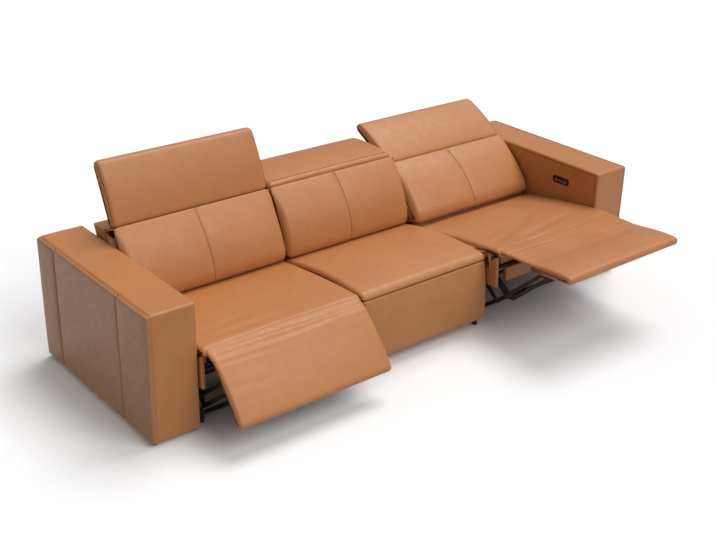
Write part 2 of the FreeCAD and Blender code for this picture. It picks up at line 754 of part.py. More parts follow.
def place_link(body, start, end, layer):
    """Puts a straight link's first hole at start and points it at end."""
    angle = math.degrees(math.atan2(end[1] - start[1], end[0] - start[0]))
    body.Placement = Placement(Vector(0, start[0], start[1]), Rotation(Vector(1, 0, 0), angle))
    bind(body, {"Placement.Base.x": layer})
    return body


def span(start, end):
    return math.hypot(end[0] - start[0], end[1] - start[1])


def lower_link(seat):
    """Swings on the seat plate and carries the long bar's rear end."""
    name = seat.side + "_lower_link"
    link = straight_link(name + "_side", span(LOWER_PIVOT, LOWER_END), LAYERS[1])
    place_link(link, LOWER_PIVOT, LOWER_END, LAYERS[1])
    pin = pivot_pin(name + "_pin", LOWER_END, f"{LAYERS[2]} - 1", LAYERS[1])
    one = fuse(name + "_one", [link, pin])
    keep(both_sides(name, one), name, chain(seat.seat, turn(LOWER_PIVOT, -seat.footrest)))


def cranked_link(seat):
    """Three-hole links on both sides, joined by the torque tube that the footrest's screw pushes."""
    name = seat.side + "_cranked_link"
    outline = clipped_hull([UPPER_PIVOT, CRANK_FAR, CRANK_NEAR], mm("link_width") / 2)
    hole = "Sizes.pivot_radius + Sizes.pivot_play"
    side = plate(name + "_side", outline, LAYERS[3], "Sizes.link_plate", [(UPPER_PIVOT, hole)])
    pins = [
        pivot_pin(f"{name}_pin{number}", point, f"{LAYERS[3]} + Sizes.link_plate", f"{LAYERS[2]} + Sizes.link_plate + 1")
        for number, point in enumerate((CRANK_NEAR, CRANK_FAR))
    ]
    parts = [side] + pins
    tube = bar_x(name + "_tube", "Sizes.torque_radius", f"-({LAYERS[3]})", LAYERS[3], TORQUE_TUBE[0], TORQUE_TUBE[1])
    whole = fuse(name, parts + [mirrored(part) for part in parts] + [tube])
    keep(whole, name, chain(seat.seat, turn(UPPER_PIVOT, -seat.footrest)))


def faceted_hole(centre, sides=12):
    """Hole with flat sides that clear a pivot pin by its play."""
    corner = (mm("pivot_radius") + mm("pivot_play")) / math.cos(math.pi / sides)
    angles = [2 * math.pi * number / sides for number in range(sides)]
    return polygon([move(centre, corner * math.cos(a), corner * math.sin(a)) for a in angles])


def bar_pair(seat, which, start, eye, middle_holes=()):
    """A flat bar on each side, from the links to a footrest eye."""
    name = f"{seat.side}_{which}_bar"
    outline = clipped_hull([start, eye], mm("link_width") / 2 - 1)
    for point in (eye,) + tuple(middle_holes):
        outline += faceted_hole(point)
    bore = [(start, "Sizes.pivot_radius + Sizes.pivot_play")]
    side = plate(name + "_side", outline, LAYERS[2], "Sizes.link_plate", bore)
    keep(both_sides(name, side), name, seat.bar(eye))


# Actuators: a rod with a slotted eye slides in a fixed sleeve on a geared motor

def slotted_rod(name, eye_y, eye_z, tube_radius, side_room, low_room, high_room, axis_z, length):
    wall = 8
    half_y = tube_radius + side_room
    outer = centred(name + "_eye", 6, eye_y - half_y - wall, eye_z - low_room - wall, 2 * (half_y + wall),
                    low_room + high_room + 2 * wall)
    slot = centred(name + "_slot", 7, eye_y - half_y, eye_z - low_room, 2 * half_y, low_room + high_room)
    eye = cut(name + "_slotted", outer, slot)
    start = eye_y + half_y + wall - 1
    rod = bar_y(name + "_bar", "Sizes.screw_radius", 0, start, start + length, axis_z)
    return fuse(name, [eye, rod])


def actuator_unit(name, sleeve_start, sleeve_end, axis_z, box_low, box_high):
    """Square sleeve, gear box and motor; the sleeve is bored for the rod."""
    half = mm("sleeve_radius")
    sleeve = centred(name + "_sleeve", half, sleeve_start, axis_z - half, sleeve_end + 1 - sleeve_start, 2 * half)
    gear = centred(name + "_gear", 28, sleeve_end, box_low, 50, box_high - box_low)
    motor = faceted_x(name + "_motor", "Sizes.motor_radius", 27, "27 + Sizes.motor_length", sleeve_end + 25, axis_z)
    bore = bar_y(name + "_bore", "Sizes.screw_radius + Sizes.sleeve_play", 0, sleeve_start - 1, sleeve_end, axis_z)
    return cut(name, fuse(name + "_solid", [sleeve, gear, motor]), bore)


def recline_rod(seat):
    name = seat.side + "_recline_rod"
    rod = slotted_rod(name, mm("cross_tube_back"), mm("cross_tube_height"), mm("cross_tube_radius"), 0.4,
                      14, 19, mm("cross_tube_height"), 150)
    keep(rod, name, chain(seat.place, slide(-seat.recline_travel)))


def recline_motors():
    unit = actuator_unit("recline_motor", 62, 234, mm("cross_tube_height"), 130, 222)
    unit.Placement = Placement(Vector(OUTER_CENTRE, 0, 0), Rotation())
    keep(both_sides("recline_motor_pair", unit), "recline_motors")


def footrest_rod(seat):
    name = seat.side + "_footrest_rod"
    drop = mm("torque_arm") * (1 - math.cos(TORQUE_HALF)) / 2 + mm("torque_radius") + 1
    level = UPPER_PIVOT[1] - mm("torque_arm") * (1 + math.cos(TORQUE_HALF)) / 2
    rod = slotted_rod(name, SCREW_START, level, mm("torque_radius"), SCREW_ERROR + 0.4, drop, drop, level, 180)
    keep(rod, name, chain(seat.seat, slide(-SCREW_RATE * math.radians(seat.footrest))))


def footrest_motor(seat):
    """Hangs from the deck behind the torque tube."""
    name = seat.side + "_footrest_motor"
    level = UPPER_PIVOT[1] - mm("torque_arm") * (1 + math.cos(TORQUE_HALF)) / 2
    top = mm("deck_top") - mm("deck_board")
    keep(actuator_unit(name, -306, -138, level, level - 28, top), name, seat.seat)


# Backs and headrests

def back_corners(crown):
    foot, top = mm("back_foot"), mm("back_top")
    low, high, shelf = mm("back_foot_height"), mm("back_top_height"), mm("shell_top") - 0.5
    rear = foot + mm("back_depth")
    return [
        (foot + 7, low, 0, 18, 6),
        (rear, low, 0, 0, 6),
        (rear + BACK_LEAN * (shelf - low), shelf, 0, 0, 0),
        (top, shelf, 0, 0, 0),
        (top, high, crown, 2, -12),
        (foot, low + mm("back_knee"), 5, 24, 0),
    ]


def back_cushion(name, half_width, pose, crown, edge_swell):
    keep(soft_form(name, back_corners(crown), half_width - 4, edge_swell), name, pose)


def prism(name, points, half_width):
    """Solid between two flat ends at x = -half_width and +half_width."""
    face = Part.Face(Part.makePolygon([at_yz(p, -half_width) for p in points + points[:1]]))
    return shape(name, face.extrude(Vector(2 * half_width, 0, 0)))


def back_shell(name, half_width, pose, arms):
    """Wooden shell behind the cushion, open to the front, with hinge leaves and, on a recliner, pivot arms."""
    board = mm("shell_board")
    low, high = mm("shell_bottom"), mm("shell_top")
    lean = BACK_LEAN
    knee = mm("back_foot_height") - 4
    front = mm("back_foot") + mm("back_depth") + mm("cushion_seat") - lean * (mm("back_foot_height") - knee)
    front_top = front + lean * (high - knee)
    foot, top = mm("shell_rear_foot"), mm("shell_rear_top")
    rear_lean = (top - foot) / (high - low)
    outer = prism(
        name + "_outer",
        [(mm("shell_front"), low), (foot, low), (top, high), (front_top, high), (front, knee), (mm("shell_front"), knee)],
        half_width - 4,
    )
    inside = [
        (front - 5, low + board),
        (foot + rear_lean * board - board, low + board),
        (top - rear_lean * board - board, high - board),
        (front_top - lean * board - 5, high - board),
        (front - 5, knee),
    ]
    hollow = cut(name + "_hollow", outer, prism(name + "_inside", inside, half_width - 4 - board))
    pivot = HEADREST_PIVOT
    leaf = polygon([
        (pivot[0] - 7, high + 0.2),
        (front_top + 1, high + 0.2),
        (front_top + 1, high - 2),
        (front_top + 34, high - 2),
        (front_top + 34, high + 3.6),
        (pivot[0] + 9, high + 3.6),
        (pivot[0] + 7, pivot[1] + 4),
        (pivot[0] + 3, pivot[1] + 7),
        (pivot[0] - 3, pivot[1] + 7),
        (pivot[0] - 7, pivot[1] + 4),
    ])
    leaf_start = "Sizes.hinge_spacing / 2"
    parts = [
        plate(name + "_leaf", leaf, leaf_start, "Sizes.hinge_plate"),
        faceted_x(
            name + "_hinge_pin",
            "Sizes.pivot_radius - 1",
            f"{leaf_start} + Sizes.hinge_plate",
            f"{leaf_start} + Sizes.hinge_plate + Sizes.hinge_arm + 2",
            "Sizes.headrest_pivot_back",
            "Sizes.headrest_pivot_height",
        ),
    ]
    if arms:
        outline = clipped_hull([BACK_PIVOT, move(BACK_PIVOT, 34, 52)], 15)
        hole = [(BACK_PIVOT, "Sizes.pivot_radius + 1 + Sizes.pivot_play")]
        parts.append(plate(name + "_arm", outline, "Sizes.back_arm_offset", "Sizes.link_plate", hole))
    keep(fuse(name, [hollow] + parts + [mirrored(part) for part in parts]), name, pose)


def headrest_corners():
    near, far = mm("headrest_front"), mm("headrest_front") + mm("headrest_reach")
    top, low, edge = mm("headrest_top"), mm("headrest_bottom"), mm("headrest_edge")
    return [
        (near, low, 0, 2, 12),
        (far - edge, low, 8, -12, 14),
        (far, low + edge, 5, -18, 0),
        (far - 8, top, mm("headrest_crown"), -16, -12),
        (near, top - mm("headrest_fall"), 0, 2, -8),
    ]


def headrest_cushion(name, half_width, pose):
    form = soft_form(name + "_form", headrest_corners(), half_width - 5, 0.75)
    slots = block(
        name + "_slot",
        ("Sizes.hinge_spacing / 2 - 4", "Sizes.headrest_front - 5", "Sizes.headrest_bottom - 4"),
        ("Sizes.hinge_slot", 155, "Sizes.headrest_pivot_height + 14 - Sizes.headrest_bottom"),
    )
    keep(cut(name, form, both_sides(name + "_slots", slots)), name, pose)


def headrest_frame(name, half_width, pose):
    """Steel plate under the headrest with an arm to each hinge."""
    low = mm("headrest_bottom") - 0.3
    first = mm("headrest_front") + 140
    sheet_plate = centred(name + "_plate", half_width - 60, first, low - 4, 60, 4)
    start = "Sizes.hinge_spacing / 2 + Sizes.hinge_plate + 1"
    rear = first + 12
    outline = polygon([
        (HEADREST_PIVOT[0] - 6, HEADREST_PIVOT[1] - 7),
        (HEADREST_PIVOT[0] + 8, HEADREST_PIVOT[1] - 9),
        (rear - 40, low - 4),
        (rear, low - 4),
        (rear, low),
        (rear - 30, low + 4),
        (HEADREST_PIVOT[0] + 8, HEADREST_PIVOT[1] + 7),
        (HEADREST_PIVOT[0] - 6, HEADREST_PIVOT[1] + 7),
    ])
    hole = [(HEADREST_PIVOT, "Sizes.pivot_radius - 1 + Sizes.pivot_play")]
    arm = plate(name + "_arm", outline, start, "Sizes.hinge_arm", hole)
    keep(fuse(name, [sheet_plate, arm, mirrored(arm)]), name, pose)


# Middle seat

def middle_seat():
    half = mm("middle_width") / 2
    cushion = seat_cushion("middle_seat_cushion", half, mm("middle_lip"), mm("seat_crown"), 0.75)
    keep(cushion, "middle_seat_cushion")
    front = -mm("seat_front")
    back = front + mm("panel_depth")
    low, high = mm("panel_bottom"), mm("seat_lip_height") - 5
    corners = [
        (front - 4, low, 0, 8, 8),
        (back, low, 0, 0, 8),
        (back, high, 0, 0, 0),
        (front, high, 12, 10, 0),
        (front - mm("panel_belly"), low + 58, 6, 14, 0),
    ]
    form = soft_form("middle_front_panel", corners, half - mm("soft_gap") - 2, 0.7)
    keep(form, "middle_front_panel")
    bottom, wall = "Sizes.middle_frame_bottom", "Sizes.box_wall"
    start = back + 0.3
    deck = centred("middle_box", MIDDLE_HALF, start, bottom, f"Sizes.seat_rear - ({start})", f"Sizes.deck_top - {bottom}")
    rear = centred("middle_rear", MIDDLE_HALF, "Sizes.seat_rear", bottom, "Sizes.shell_rear_foot - Sizes.seat_rear",
                   f"Sizes.shell_bottom - 0.3 - {bottom}")
    hollow = centred("middle_hollow", f"{MIDDLE_HALF} - {wall}", f"{start} + {wall}", f"{bottom} - 1",
                     f"Sizes.shell_rear_foot - 2 * {wall} - ({start})", f"Sizes.shell_bottom - {wall} - {bottom}")
    keep(cut("middle_seat_frame", fuse("middle_walls", [deck, rear]), hollow), "middle_seat_frame")
    back_shell("middle_back_frame", half, Placement(), False)
    back_cushion("middle_back_cushion", half, Placement(), mm("middle_back_crown"), 0.75)
    headrest_cushion("middle_headrest_cushion", half, Placement())
    headrest_frame("middle_headrest_frame", half, Placement())


# Arms

ARM_INNER = mm("middle_width") / 2 + mm("outer_width")


def arm_parts():
    """One arm at x > 0: cover over top, inside and both ends, channelled outer pad, and the wooden frame."""
    depth, width, skin = mm("arm_depth"), mm("arm_width"), mm("arm_padding")
    low, high = mm("arm_gap"), mm("arm_height")
    outer_face = width - skin
    start = Vector(ARM_INNER, -depth / 2, low)
    solid = Part.makeBox(outer_face, depth, high - low, start)
    upper = [e for e in solid.Edges if e.BoundBox.ZMin > high - 1 and e.BoundBox.XMin < ARM_INNER + outer_face - 1]
    uprights = [
        e for e in solid.Edges
        if e.BoundBox.ZLength > 1 and e.BoundBox.XMax < ARM_INNER + 1
    ]
    solid = solid.makeFillet(mm("arm_edge"), upper + uprights)
    void = Part.makeBox(outer_face, depth - 2 * skin, high - low, start + Vector(skin, skin, -skin))
    recess = Part.makeBox(
        mm("panel_body") + 2,
        mm("panel_length") - 6,
        mm("panel_height") - 6,
        Vector(ARM_INNER - 1, mm("panel_back") - mm("panel_length") / 2 + 3, mm("panel_level") - mm("panel_height") / 2 + 3),
    )
    cover = shape("arm_cover", solid.cut(void).cut(recess))

    board = mm("arm_board")
    gap = 0.3
    frame_start = start + Vector(skin + gap, skin + gap, 0)
    size = (outer_face - skin - 2 * gap, depth - 2 * skin - 2 * gap, high - low - skin - gap)
    outer = Part.makeBox(*size, frame_start)
    inner = Part.makeBox(
        size[0] - 2 * board, size[1] - 2 * board, size[2] - board, frame_start + Vector(board, board, -1)
    )
    frame = shape("arm_frame", outer.cut(inner))
    return cover, frame


def arm_outer_pad():
    """Three upright padded panels with sewn seams between them, on the arm's outside."""
    half = mm("arm_depth") / 2 - 2
    low, high = mm("arm_gap"), mm("arm_height") - mm("arm_edge")
    back = ARM_INNER + mm("arm_width") - mm("arm_padding") + 0.3
    face = ARM_INNER + mm("arm_width") - mm("channel_crown")
    stops = [-half, -mm("arm_front_seam"), mm("arm_rear_seam"), half]
    edges_at = []
    for level, swell, inset in ((low, 0.5, 0), (low + 30, 1, 0), (high - 40, 1, 0), (high, 0.35, 0)):
        edges = [Part.LineSegment(Vector(back, half, level), Vector(back, -half, level)).toShape()]
        edges.append(Part.LineSegment(Vector(back, -half, level), Vector(face, -half, level)).toShape())
        for first, last in zip(stops, stops[1:]):
            crest = Vector(face + mm("channel_crown") * swell, (first + last) / 2, level)
            edges.append(Part.Arc(Vector(face, first, level), crest, Vector(face, last, level)).toShape())
        edges.append(Part.LineSegment(Vector(face, half, level), Vector(back, half, level)).toShape())
        edges_at.append(Part.Wire(edges))
    return shape("arm_outer_pad", Part.makeLoft(edges_at, True, True))


def arms():
    cover, frame = arm_parts()
    pad = arm_outer_pad()
    for part, label in ((cover, "arm_cover"), (frame, "arm_frame"), (pad, "arm_outer_pad")):
        part.Label = label + "_drawing"
        keep(group("left_" + label, [mirrored(part)]), "left_" + label)
        keep(group("right_" + label, [part]), "right_" + label)


# Controls in the arms' inner faces

KEYS = ("footrest", "recline", "headrest")
KEY_LEVEL = "Sizes.panel_level - 4"


def key_start(number, margin=0):
    return f"Sizes.panel_back + {number - 1} * Sizes.key_pitch - Sizes.key_length / 2 - ({margin})"


def control_panels():
    face = f"({ARM_INNER} - Sizes.panel_proud)"
    bezel = block(
        "panel_bezel",
        (face, "Sizes.panel_back - Sizes.panel_length / 2", "Sizes.panel_level - Sizes.panel_height / 2"),
        ("Sizes.panel_proud", "Sizes.panel_length", "Sizes.panel_height"),
    )
    rounded = doc.addObject("Part::Chamfer", "panel_rounded")
    rounded.Base = bezel
    doc.recompute()
    rounded.Edges = [(n + 1, 9, 9) for n, e in enumerate(bezel.Shape.Edges) if e.BoundBox.XLength > 1]
    body = block(
        "panel_body_block",
        (ARM_INNER - 0.2, "Sizes.panel_back - Sizes.panel_length / 2 + 3.3", "Sizes.panel_level - Sizes.panel_height / 2 + 3.3"),
        ("Sizes.panel_body + 0.2", "Sizes.panel_length - 6.6", "Sizes.panel_height - 6.6"),
    )
    wells = [
        block(
            f"panel_well{number}",
            (face + " - 1", key_start(number, "Sizes.key_play"), f"{KEY_LEVEL} - Sizes.key_height / 2 - Sizes.key_play"),
            ("Sizes.key_well + 1", "Sizes.key_length + 2 * Sizes.key_play", "Sizes.key_height + 2 * Sizes.key_play"),
        )
        for number in range(len(KEYS))
    ]
    socket = block(
        "panel_socket",
        (face + " - 1", "Sizes.panel_back - 36", "Sizes.panel_level + 7"),
        (8, 13, 5.5),
    )
    panel = cut("panel_right", fuse("panel_solid", [rounded, body]), group("panel_wells", wells + [socket]))
    keep(both_sides("control_panel_pair", panel), "control_panels")
    for number, key in enumerate(KEYS):
        start = f"{face} - Sizes.key_proud"
        cap = block(
            key + "_key_block",
            (start, key_start(number), f"{KEY_LEVEL} - Sizes.key_height / 2"),
            ("Sizes.key_depth", "Sizes.key_length", "Sizes.key_height"),
        )
        soft = doc.addObject("Part::Chamfer", key + "_key_cap")
        soft.Base = cap
        doc.recompute()
        front = [n + 1 for n, e in enumerate(cap.Shape.Edges) if e.BoundBox.XMax < cap.Shape.BoundBox.XMin + 0.1]
        soft.Edges = [(n, 1, 1) for n in front]
        keep(group(f"left_{key}_key", [mirrored(soft)]), f"left_{key}_key")
        keep(group(f"right_{key}_key", [soft]), f"right_{key}_key")


# Floor glides, and the low-voltage inlet at the back

def glides():
    """Square pads under the walls of the arms, of the bases and of the middle seat."""
    parts = []
    inner_wall = ARM_INNER + mm("arm_padding") + mm("arm_board") / 2
    outer_wall = ARM_INNER + mm("arm_width") - mm("arm_padding") - mm("arm_board") / 2
    spots = [(x, y, "Sizes.arm_gap") for x in (inner_wall, outer_wall) for y in (-470, 470)]
    for side in (-1, 1):
        x = OUTER_CENTRE + side * (mm("track_offset") + mm("track_plate") / 2)
        spots += [(x, y, "Sizes.plate_foot") for y in (-445, 270)]
    middle_wall = (mm("middle_width") - mm("box_wall")) / 2
    spots += [(middle_wall, y, "Sizes.middle_frame_bottom") for y in (-510, 240)]
    half = mm("glide_half")
    for number, (x, y, height) in enumerate(spots):
        size = ("2 * Sizes.glide_half", "3 * Sizes.glide_half", height)
        parts.append(block(f"glide{number}", (x - half, y - 1.5 * half, 0), size))
    keep(both_sides("glide_set", group("glide_half", parts)), "glides")


def power_inlet():
    rear = "Sizes.shell_rear_foot"
    flange = block("inlet_flange", (228, rear, 105), (44, 3, 32))
    shroud = block("inlet_shroud", (238, rear, 112), (24, 11, 18))
    socket = block("inlet_socket", (241, f"{rear} + 3", 115), (18, 9, 12))
    keep(cut("power_inlet", fuse("inlet_solid", [flange, shroud]), socket), "power_inlet")


# Assembly

for seat in SEATS:
    half = mm("outer_width") / 2
    recliner_cushion(seat)
    seat_box(seat)
    seat_carriage(seat)
    base_rails(seat)
    footrest_pad(seat)
    footrest_frame(seat)
    footrest_flap(seat)
    lower_link(seat)
    cranked_link(seat)
    bar_pair(seat, "long", LOWER_END, NEAR_EYE, (CRANK_NEAR,))
    bar_pair(seat, "short", CRANK_FAR, FAR_EYE)
    recline_rod(seat)
    footrest_rod(seat)
    footrest_motor(seat)
    back_shell(seat.side + "_back_frame", half, seat.back, True)
    back_cushion(seat.side + "_back_cushion", half, seat.back, mm("back_crown"), 0.4)
    headrest_cushion(seat.side + "_headrest_cushion", half, seat.head)
    headrest_frame(seat.side + "_headrest_frame", half, seat.head)

recline_motors()
middle_seat()
arms()
control_panels()
glides()
power_inlet()

doc.recompute()

# Every object has to be sound before anything is written
for obj in doc.Objects:
    if "Invalid" in obj.State or "Error" in obj.State:
        raise RuntimeError(f"{obj.Label} failed: {obj.State}")
for obj in nodes:
    if obj.Shape.isNull() or not obj.Shape.isValid() or not obj.Shape.Solids:
        raise RuntimeError(f"{obj.Label} has no sound solid")

# The origin of the written files is under the middle of the whole, open footrests included
boxes = [obj.Shape.optimalBoundingBox(False, False) for obj in nodes]
middle = (min(box.YMin for box in boxes) + max(box.YMax for box in boxes)) / 2
ROW_SHIFT = slide(-middle)
for obj in nodes:
    obj.Placement = ROW_SHIFT.multiply(obj.Placement)
print(f"written {-middle:.2f} mm further back than drawn")

os.makedirs("parts", exist_ok=True)
for obj in nodes:
    obj.Shape.exportStep(f"parts/{obj.Label}.step")
    print(f"{obj.Label}: {len(obj.Shape.Solids)} solid(s), {obj.Shape.Volume / 1e6:.3f} litres")
print(f"{len(nodes)} nodes")
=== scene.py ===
import json
import math

import bpy
import numpy as np
from mathutils import Matrix, Vector


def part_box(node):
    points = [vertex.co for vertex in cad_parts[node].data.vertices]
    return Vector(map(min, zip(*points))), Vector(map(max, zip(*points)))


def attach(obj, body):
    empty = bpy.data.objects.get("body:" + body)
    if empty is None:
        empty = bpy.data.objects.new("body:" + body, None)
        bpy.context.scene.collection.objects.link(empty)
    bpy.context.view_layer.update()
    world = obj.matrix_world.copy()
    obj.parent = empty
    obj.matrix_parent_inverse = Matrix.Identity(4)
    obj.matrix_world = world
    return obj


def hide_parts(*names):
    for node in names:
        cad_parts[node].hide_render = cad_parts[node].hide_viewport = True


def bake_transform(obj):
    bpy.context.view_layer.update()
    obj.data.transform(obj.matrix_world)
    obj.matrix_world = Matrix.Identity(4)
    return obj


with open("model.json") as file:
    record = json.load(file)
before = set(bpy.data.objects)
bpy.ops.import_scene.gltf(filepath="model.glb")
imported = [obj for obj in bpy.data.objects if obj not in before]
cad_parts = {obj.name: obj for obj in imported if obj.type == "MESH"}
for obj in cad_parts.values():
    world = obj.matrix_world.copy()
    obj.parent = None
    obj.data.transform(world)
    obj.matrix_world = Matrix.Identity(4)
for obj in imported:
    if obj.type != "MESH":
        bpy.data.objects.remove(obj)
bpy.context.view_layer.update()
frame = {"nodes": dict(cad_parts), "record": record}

# Reclining sofa in tan leather. Lengths are metres in the row frame: the sofa faces -Y and Z is up.
# Recliner pieces are drawn for a seat at x = 0, upright and closed, then turned into the kept pose.

# Centre of the outer seats, and half the width of an outer seat and of the middle one
SEAT_X = 0.8475
OUTER_HALF = 0.436
MIDDLE_HALF = 0.4065

# Pivots of a recliner as (y, z), and the degrees that its seat and back turn when it reclines
FOLD = (-0.638, 0.481)
SWING = (0.044, 1.990)
BACK_PIVOT = (0.096, 0.281)
HEADREST_PIVOT = (0.217, 0.728)
SEAT_SWING = 3.4
BACK_RECLINE = 15.4

# Inner side, half the depth, foot and top of an arm
ARM_INNER = 1.286
ARM_HALF = 0.515
ARM_LOW = 0.020
ARM_TOP = 0.645

# The arms stand evenly about the plane that the recliners are drawn from
ARM_LOW_Y, ARM_HIGH_Y = (corner[1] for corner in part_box("left_arm_frame"))
ROW = Matrix.Translation((0, (ARM_LOW_Y + ARM_HIGH_Y) / 2, 0))


def turn(pivot, degrees):
    """Turn about X through the pivot (y, z)."""
    centre = Matrix.Translation((0, *pivot))
    return centre @ Matrix.Rotation(math.radians(degrees), 4, "X") @ centre.inverted()


def seat_poses(side, centre, footrest, recline, headrest):
    """An outer seat's bodies in the kept pose; recline runs from 0 to 1, the others are degrees."""
    place = ROW @ Matrix.Translation((centre, 0, 0))
    seat = place @ turn(SWING, -SEAT_SWING * recline)
    back = seat @ turn(BACK_PIVOT, -BACK_RECLINE * recline)
    return {
        "side": side,
        "seat": seat,
        "fold": seat @ turn(FOLD, -footrest),
        "back": back,
        "headrest": back @ turn(HEADREST_PIVOT, headrest),
    }


SEATS = [
    seat_poses("left", -SEAT_X, footrest=40, recline=0, headrest=64),
    seat_poses("right", SEAT_X, footrest=91, recline=1, headrest=47),
]


# Materials

def new_group(name, inputs, outputs):
    """Empty shader group with named sockets, and its input and output nodes."""
    group = bpy.data.node_groups.new(name, "ShaderNodeTree")
    for label, kind, value in inputs:
        socket = group.interface.new_socket(label, in_out="INPUT", socket_type=kind)
        socket.default_value = value
    for label, kind in outputs:
        group.interface.new_socket(label, in_out="OUTPUT", socket_type=kind)
    return group, group.nodes.new("NodeGroupInput"), group.nodes.new("NodeGroupOutput")


def noise(nodes, scale, detail, rough):
    """Noise texture node."""
    node = nodes.new("ShaderNodeTexNoise")
    node.inputs["Scale"].default_value = scale
    node.inputs["Detail"].default_value = detail
    node.inputs["Roughness"].default_value = rough
    return node


def ramp(nodes, stops):
    """Map Range node between two stops of (value in, value out)."""
    node = nodes.new("ShaderNodeMapRange")
    (low, start), (high, end) = stops
    for label, value in (("From Min", low), ("From Max", high), ("To Min", start), ("To Max", end)):
        node.inputs[label].default_value = value
    return node


def leather_group():
    """Leather colour, roughness and grain from object coordinates."""
    group, given, result = new_group(
        "leather_finish",
        inputs=[
            ("Light", "NodeSocketColor", (0.6, 0.3, 0.14, 1)),
            ("Dark", "NodeSocketColor", (0.4, 0.17, 0.06, 1)),
            ("Grain", "NodeSocketFloat", 1.0),
        ],
        outputs=[
            ("Color", "NodeSocketColor"),
            ("Roughness", "NodeSocketFloat"),
            ("Normal", "NodeSocketVector"),
        ],
    )
    nodes, links = group.nodes, group.links
    place = nodes.new("ShaderNodeTexCoord")
    cloud = noise(nodes, 3.1, detail=5, rough=0.6)
    hide = noise(nodes, 26, detail=4, rough=0.6)
    pores = nodes.new("ShaderNodeTexVoronoi")
    pores.inputs["Scale"].default_value = 420
    pores.inputs["Randomness"].default_value = 0.9
    fine = noise(nodes, 900, detail=2, rough=0.6)
    for node in (cloud, hide, pores, fine):
        links.new(place.outputs["Object"], node.inputs["Vector"])
    patches = ramp(nodes, ((0.32, 0.0), (0.68, 1.0)))
    links.new(cloud.outputs["Fac"], patches.inputs["Value"])
    veins = ramp(nodes, ((0.35, 0.0), (0.7, 0.35)))
    links.new(hide.outputs["Fac"], veins.inputs["Value"])
    total = nodes.new("ShaderNodeMath")
    total.operation = "ADD"
    total.use_clamp = True
    scaled = nodes.new("ShaderNodeMath")
    scaled.operation = "MULTIPLY"
    scaled.inputs[1].default_value = 0.65
    links.new(patches.outputs["Result"], scaled.inputs[0])
    links.new(scaled.outputs["Value"], total.inputs[0])
    links.new(veins.outputs["Result"], total.inputs[1])
    blend = nodes.new("ShaderNodeMix")
    blend.data_type = "RGBA"
    links.new(total.outputs["Value"], blend.inputs["Factor"])
    links.new(given.outputs["Light"], blend.inputs["A"])
    links.new(given.outputs["Dark"], blend.inputs["B"])
    links.new(blend.outputs["Result"], result.inputs["Color"])
    gloss = ramp(nodes, ((0.3, 0.40), (0.7, 0.52)))
    links.new(hide.outputs["Fac"], gloss.inputs["Value"])
    links.new(gloss.outputs["Result"], result.inputs["Roughness"])
    height = nodes.new("ShaderNodeMath")
    height.operation = "ADD"
    soft = nodes.new("ShaderNodeMath")
    soft.operation = "MULTIPLY"
    soft.inputs[1].default_value = 0.5
    links.new(fine.outputs["Fac"], soft.inputs[0])
    links.new(pores.outputs["Distance"], height.inputs[0])
    links.new(soft.outputs["Value"], height.inputs[1])
    grain = nodes.new("ShaderNodeBump")
    grain.inputs["Distance"].default_value = 0.0004
    links.new(given.outputs["Grain"], grain.inputs["Strength"])
    links.new(height.outputs["Value"], grain.inputs["Height"])
    ripple = nodes.new("ShaderNodeBump")
    ripple.inputs["Strength"].default_value = 0.16
    ripple.inputs["Distance"].default_value = 0.004
    slow = noise(nodes, 7, detail=2, rough=0.45)
    links.new(place.outputs["Object"], slow.inputs["Vector"])
    links.new(slow.outputs["Fac"], ripple.inputs["Height"])
    links.new(grain.outputs["Normal"], ripple.inputs["Normal"])
    links.new(ripple.outputs["Normal"], result.inputs["Normal"])
    return group


LEATHER_FINISH = leather_group()


def new_material(name):
    material = bpy.data.materials.new(name)
    material.use_nodes = True
    nodes = material.node_tree.nodes
    return material, nodes, material.node_tree.links, nodes["Principled BSDF"]


def leather(name, light, dark, grain=0.35):
    """Hide in two tones, with a thin coat."""
    material, nodes, links, shader = new_material(name)
    finish = nodes.new("ShaderNodeGroup")
    finish.node_tree = LEATHER_FINISH
    finish.inputs["Light"].default_value = (*light, 1)
    finish.inputs["Dark"].default_value = (*dark, 1)
    finish.inputs["Grain"].default_value = grain
    links.new(finish.outputs["Color"], shader.inputs["Base Color"])
    links.new(finish.outputs["Roughness"], shader.inputs["Roughness"])
    links.new(finish.outputs["Normal"], shader.inputs["Normal"])
    shader.inputs["Specular IOR Level"].default_value = 0.45
    shader.inputs["Coat Roughness"].default_value = 0.45
    shader.inputs["Coat Weight"].default_value = 0.09
    return material


def speckled(name, colour, roughness, metallic=0.0, scale=260, bump=0.1, spread=0.25):
    """Painted, moulded or bare surface with a fine grain and slight change of tone."""
    material, nodes, links, shader = new_material(name)
    place = nodes.new("ShaderNodeTexCoord")
    grain = noise(nodes, scale, detail=3, rough=0.6)
    tone = noise(nodes, scale / 12, detail=3, rough=0.5)
    for node in (grain, tone):
        links.new(place.outputs["Object"], node.inputs["Vector"])
    blend = nodes.new("ShaderNodeMix")
    blend.data_type = "RGBA"
    blend.inputs["A"].default_value = (*[c * (1 - spread) for c in colour], 1)
    blend.inputs["B"].default_value = (*[min(1, c * (1 + spread)) for c in colour], 1)
    links.new(tone.outputs["Fac"], blend.inputs["Factor"])
    links.new(blend.outputs["Result"], shader.inputs["Base Color"])
    rough = ramp(nodes, ((0.3, roughness - 0.06), (0.7, roughness + 0.06)))
    links.new(grain.outputs["Fac"], rough.inputs["Value"])
    links.new(rough.outputs["Result"], shader.inputs["Roughness"])
    relief = nodes.new("ShaderNodeBump")
    relief.inputs["Strength"].default_value = bump
    relief.inputs["Distance"].default_value = 0.0006
    links.new(grain.outputs["Fac"], relief.inputs["Height"])
    links.new(relief.outputs["Normal"], shader.inputs["Normal"])
    shader.inputs["Metallic"].default_value = metallic
    return material


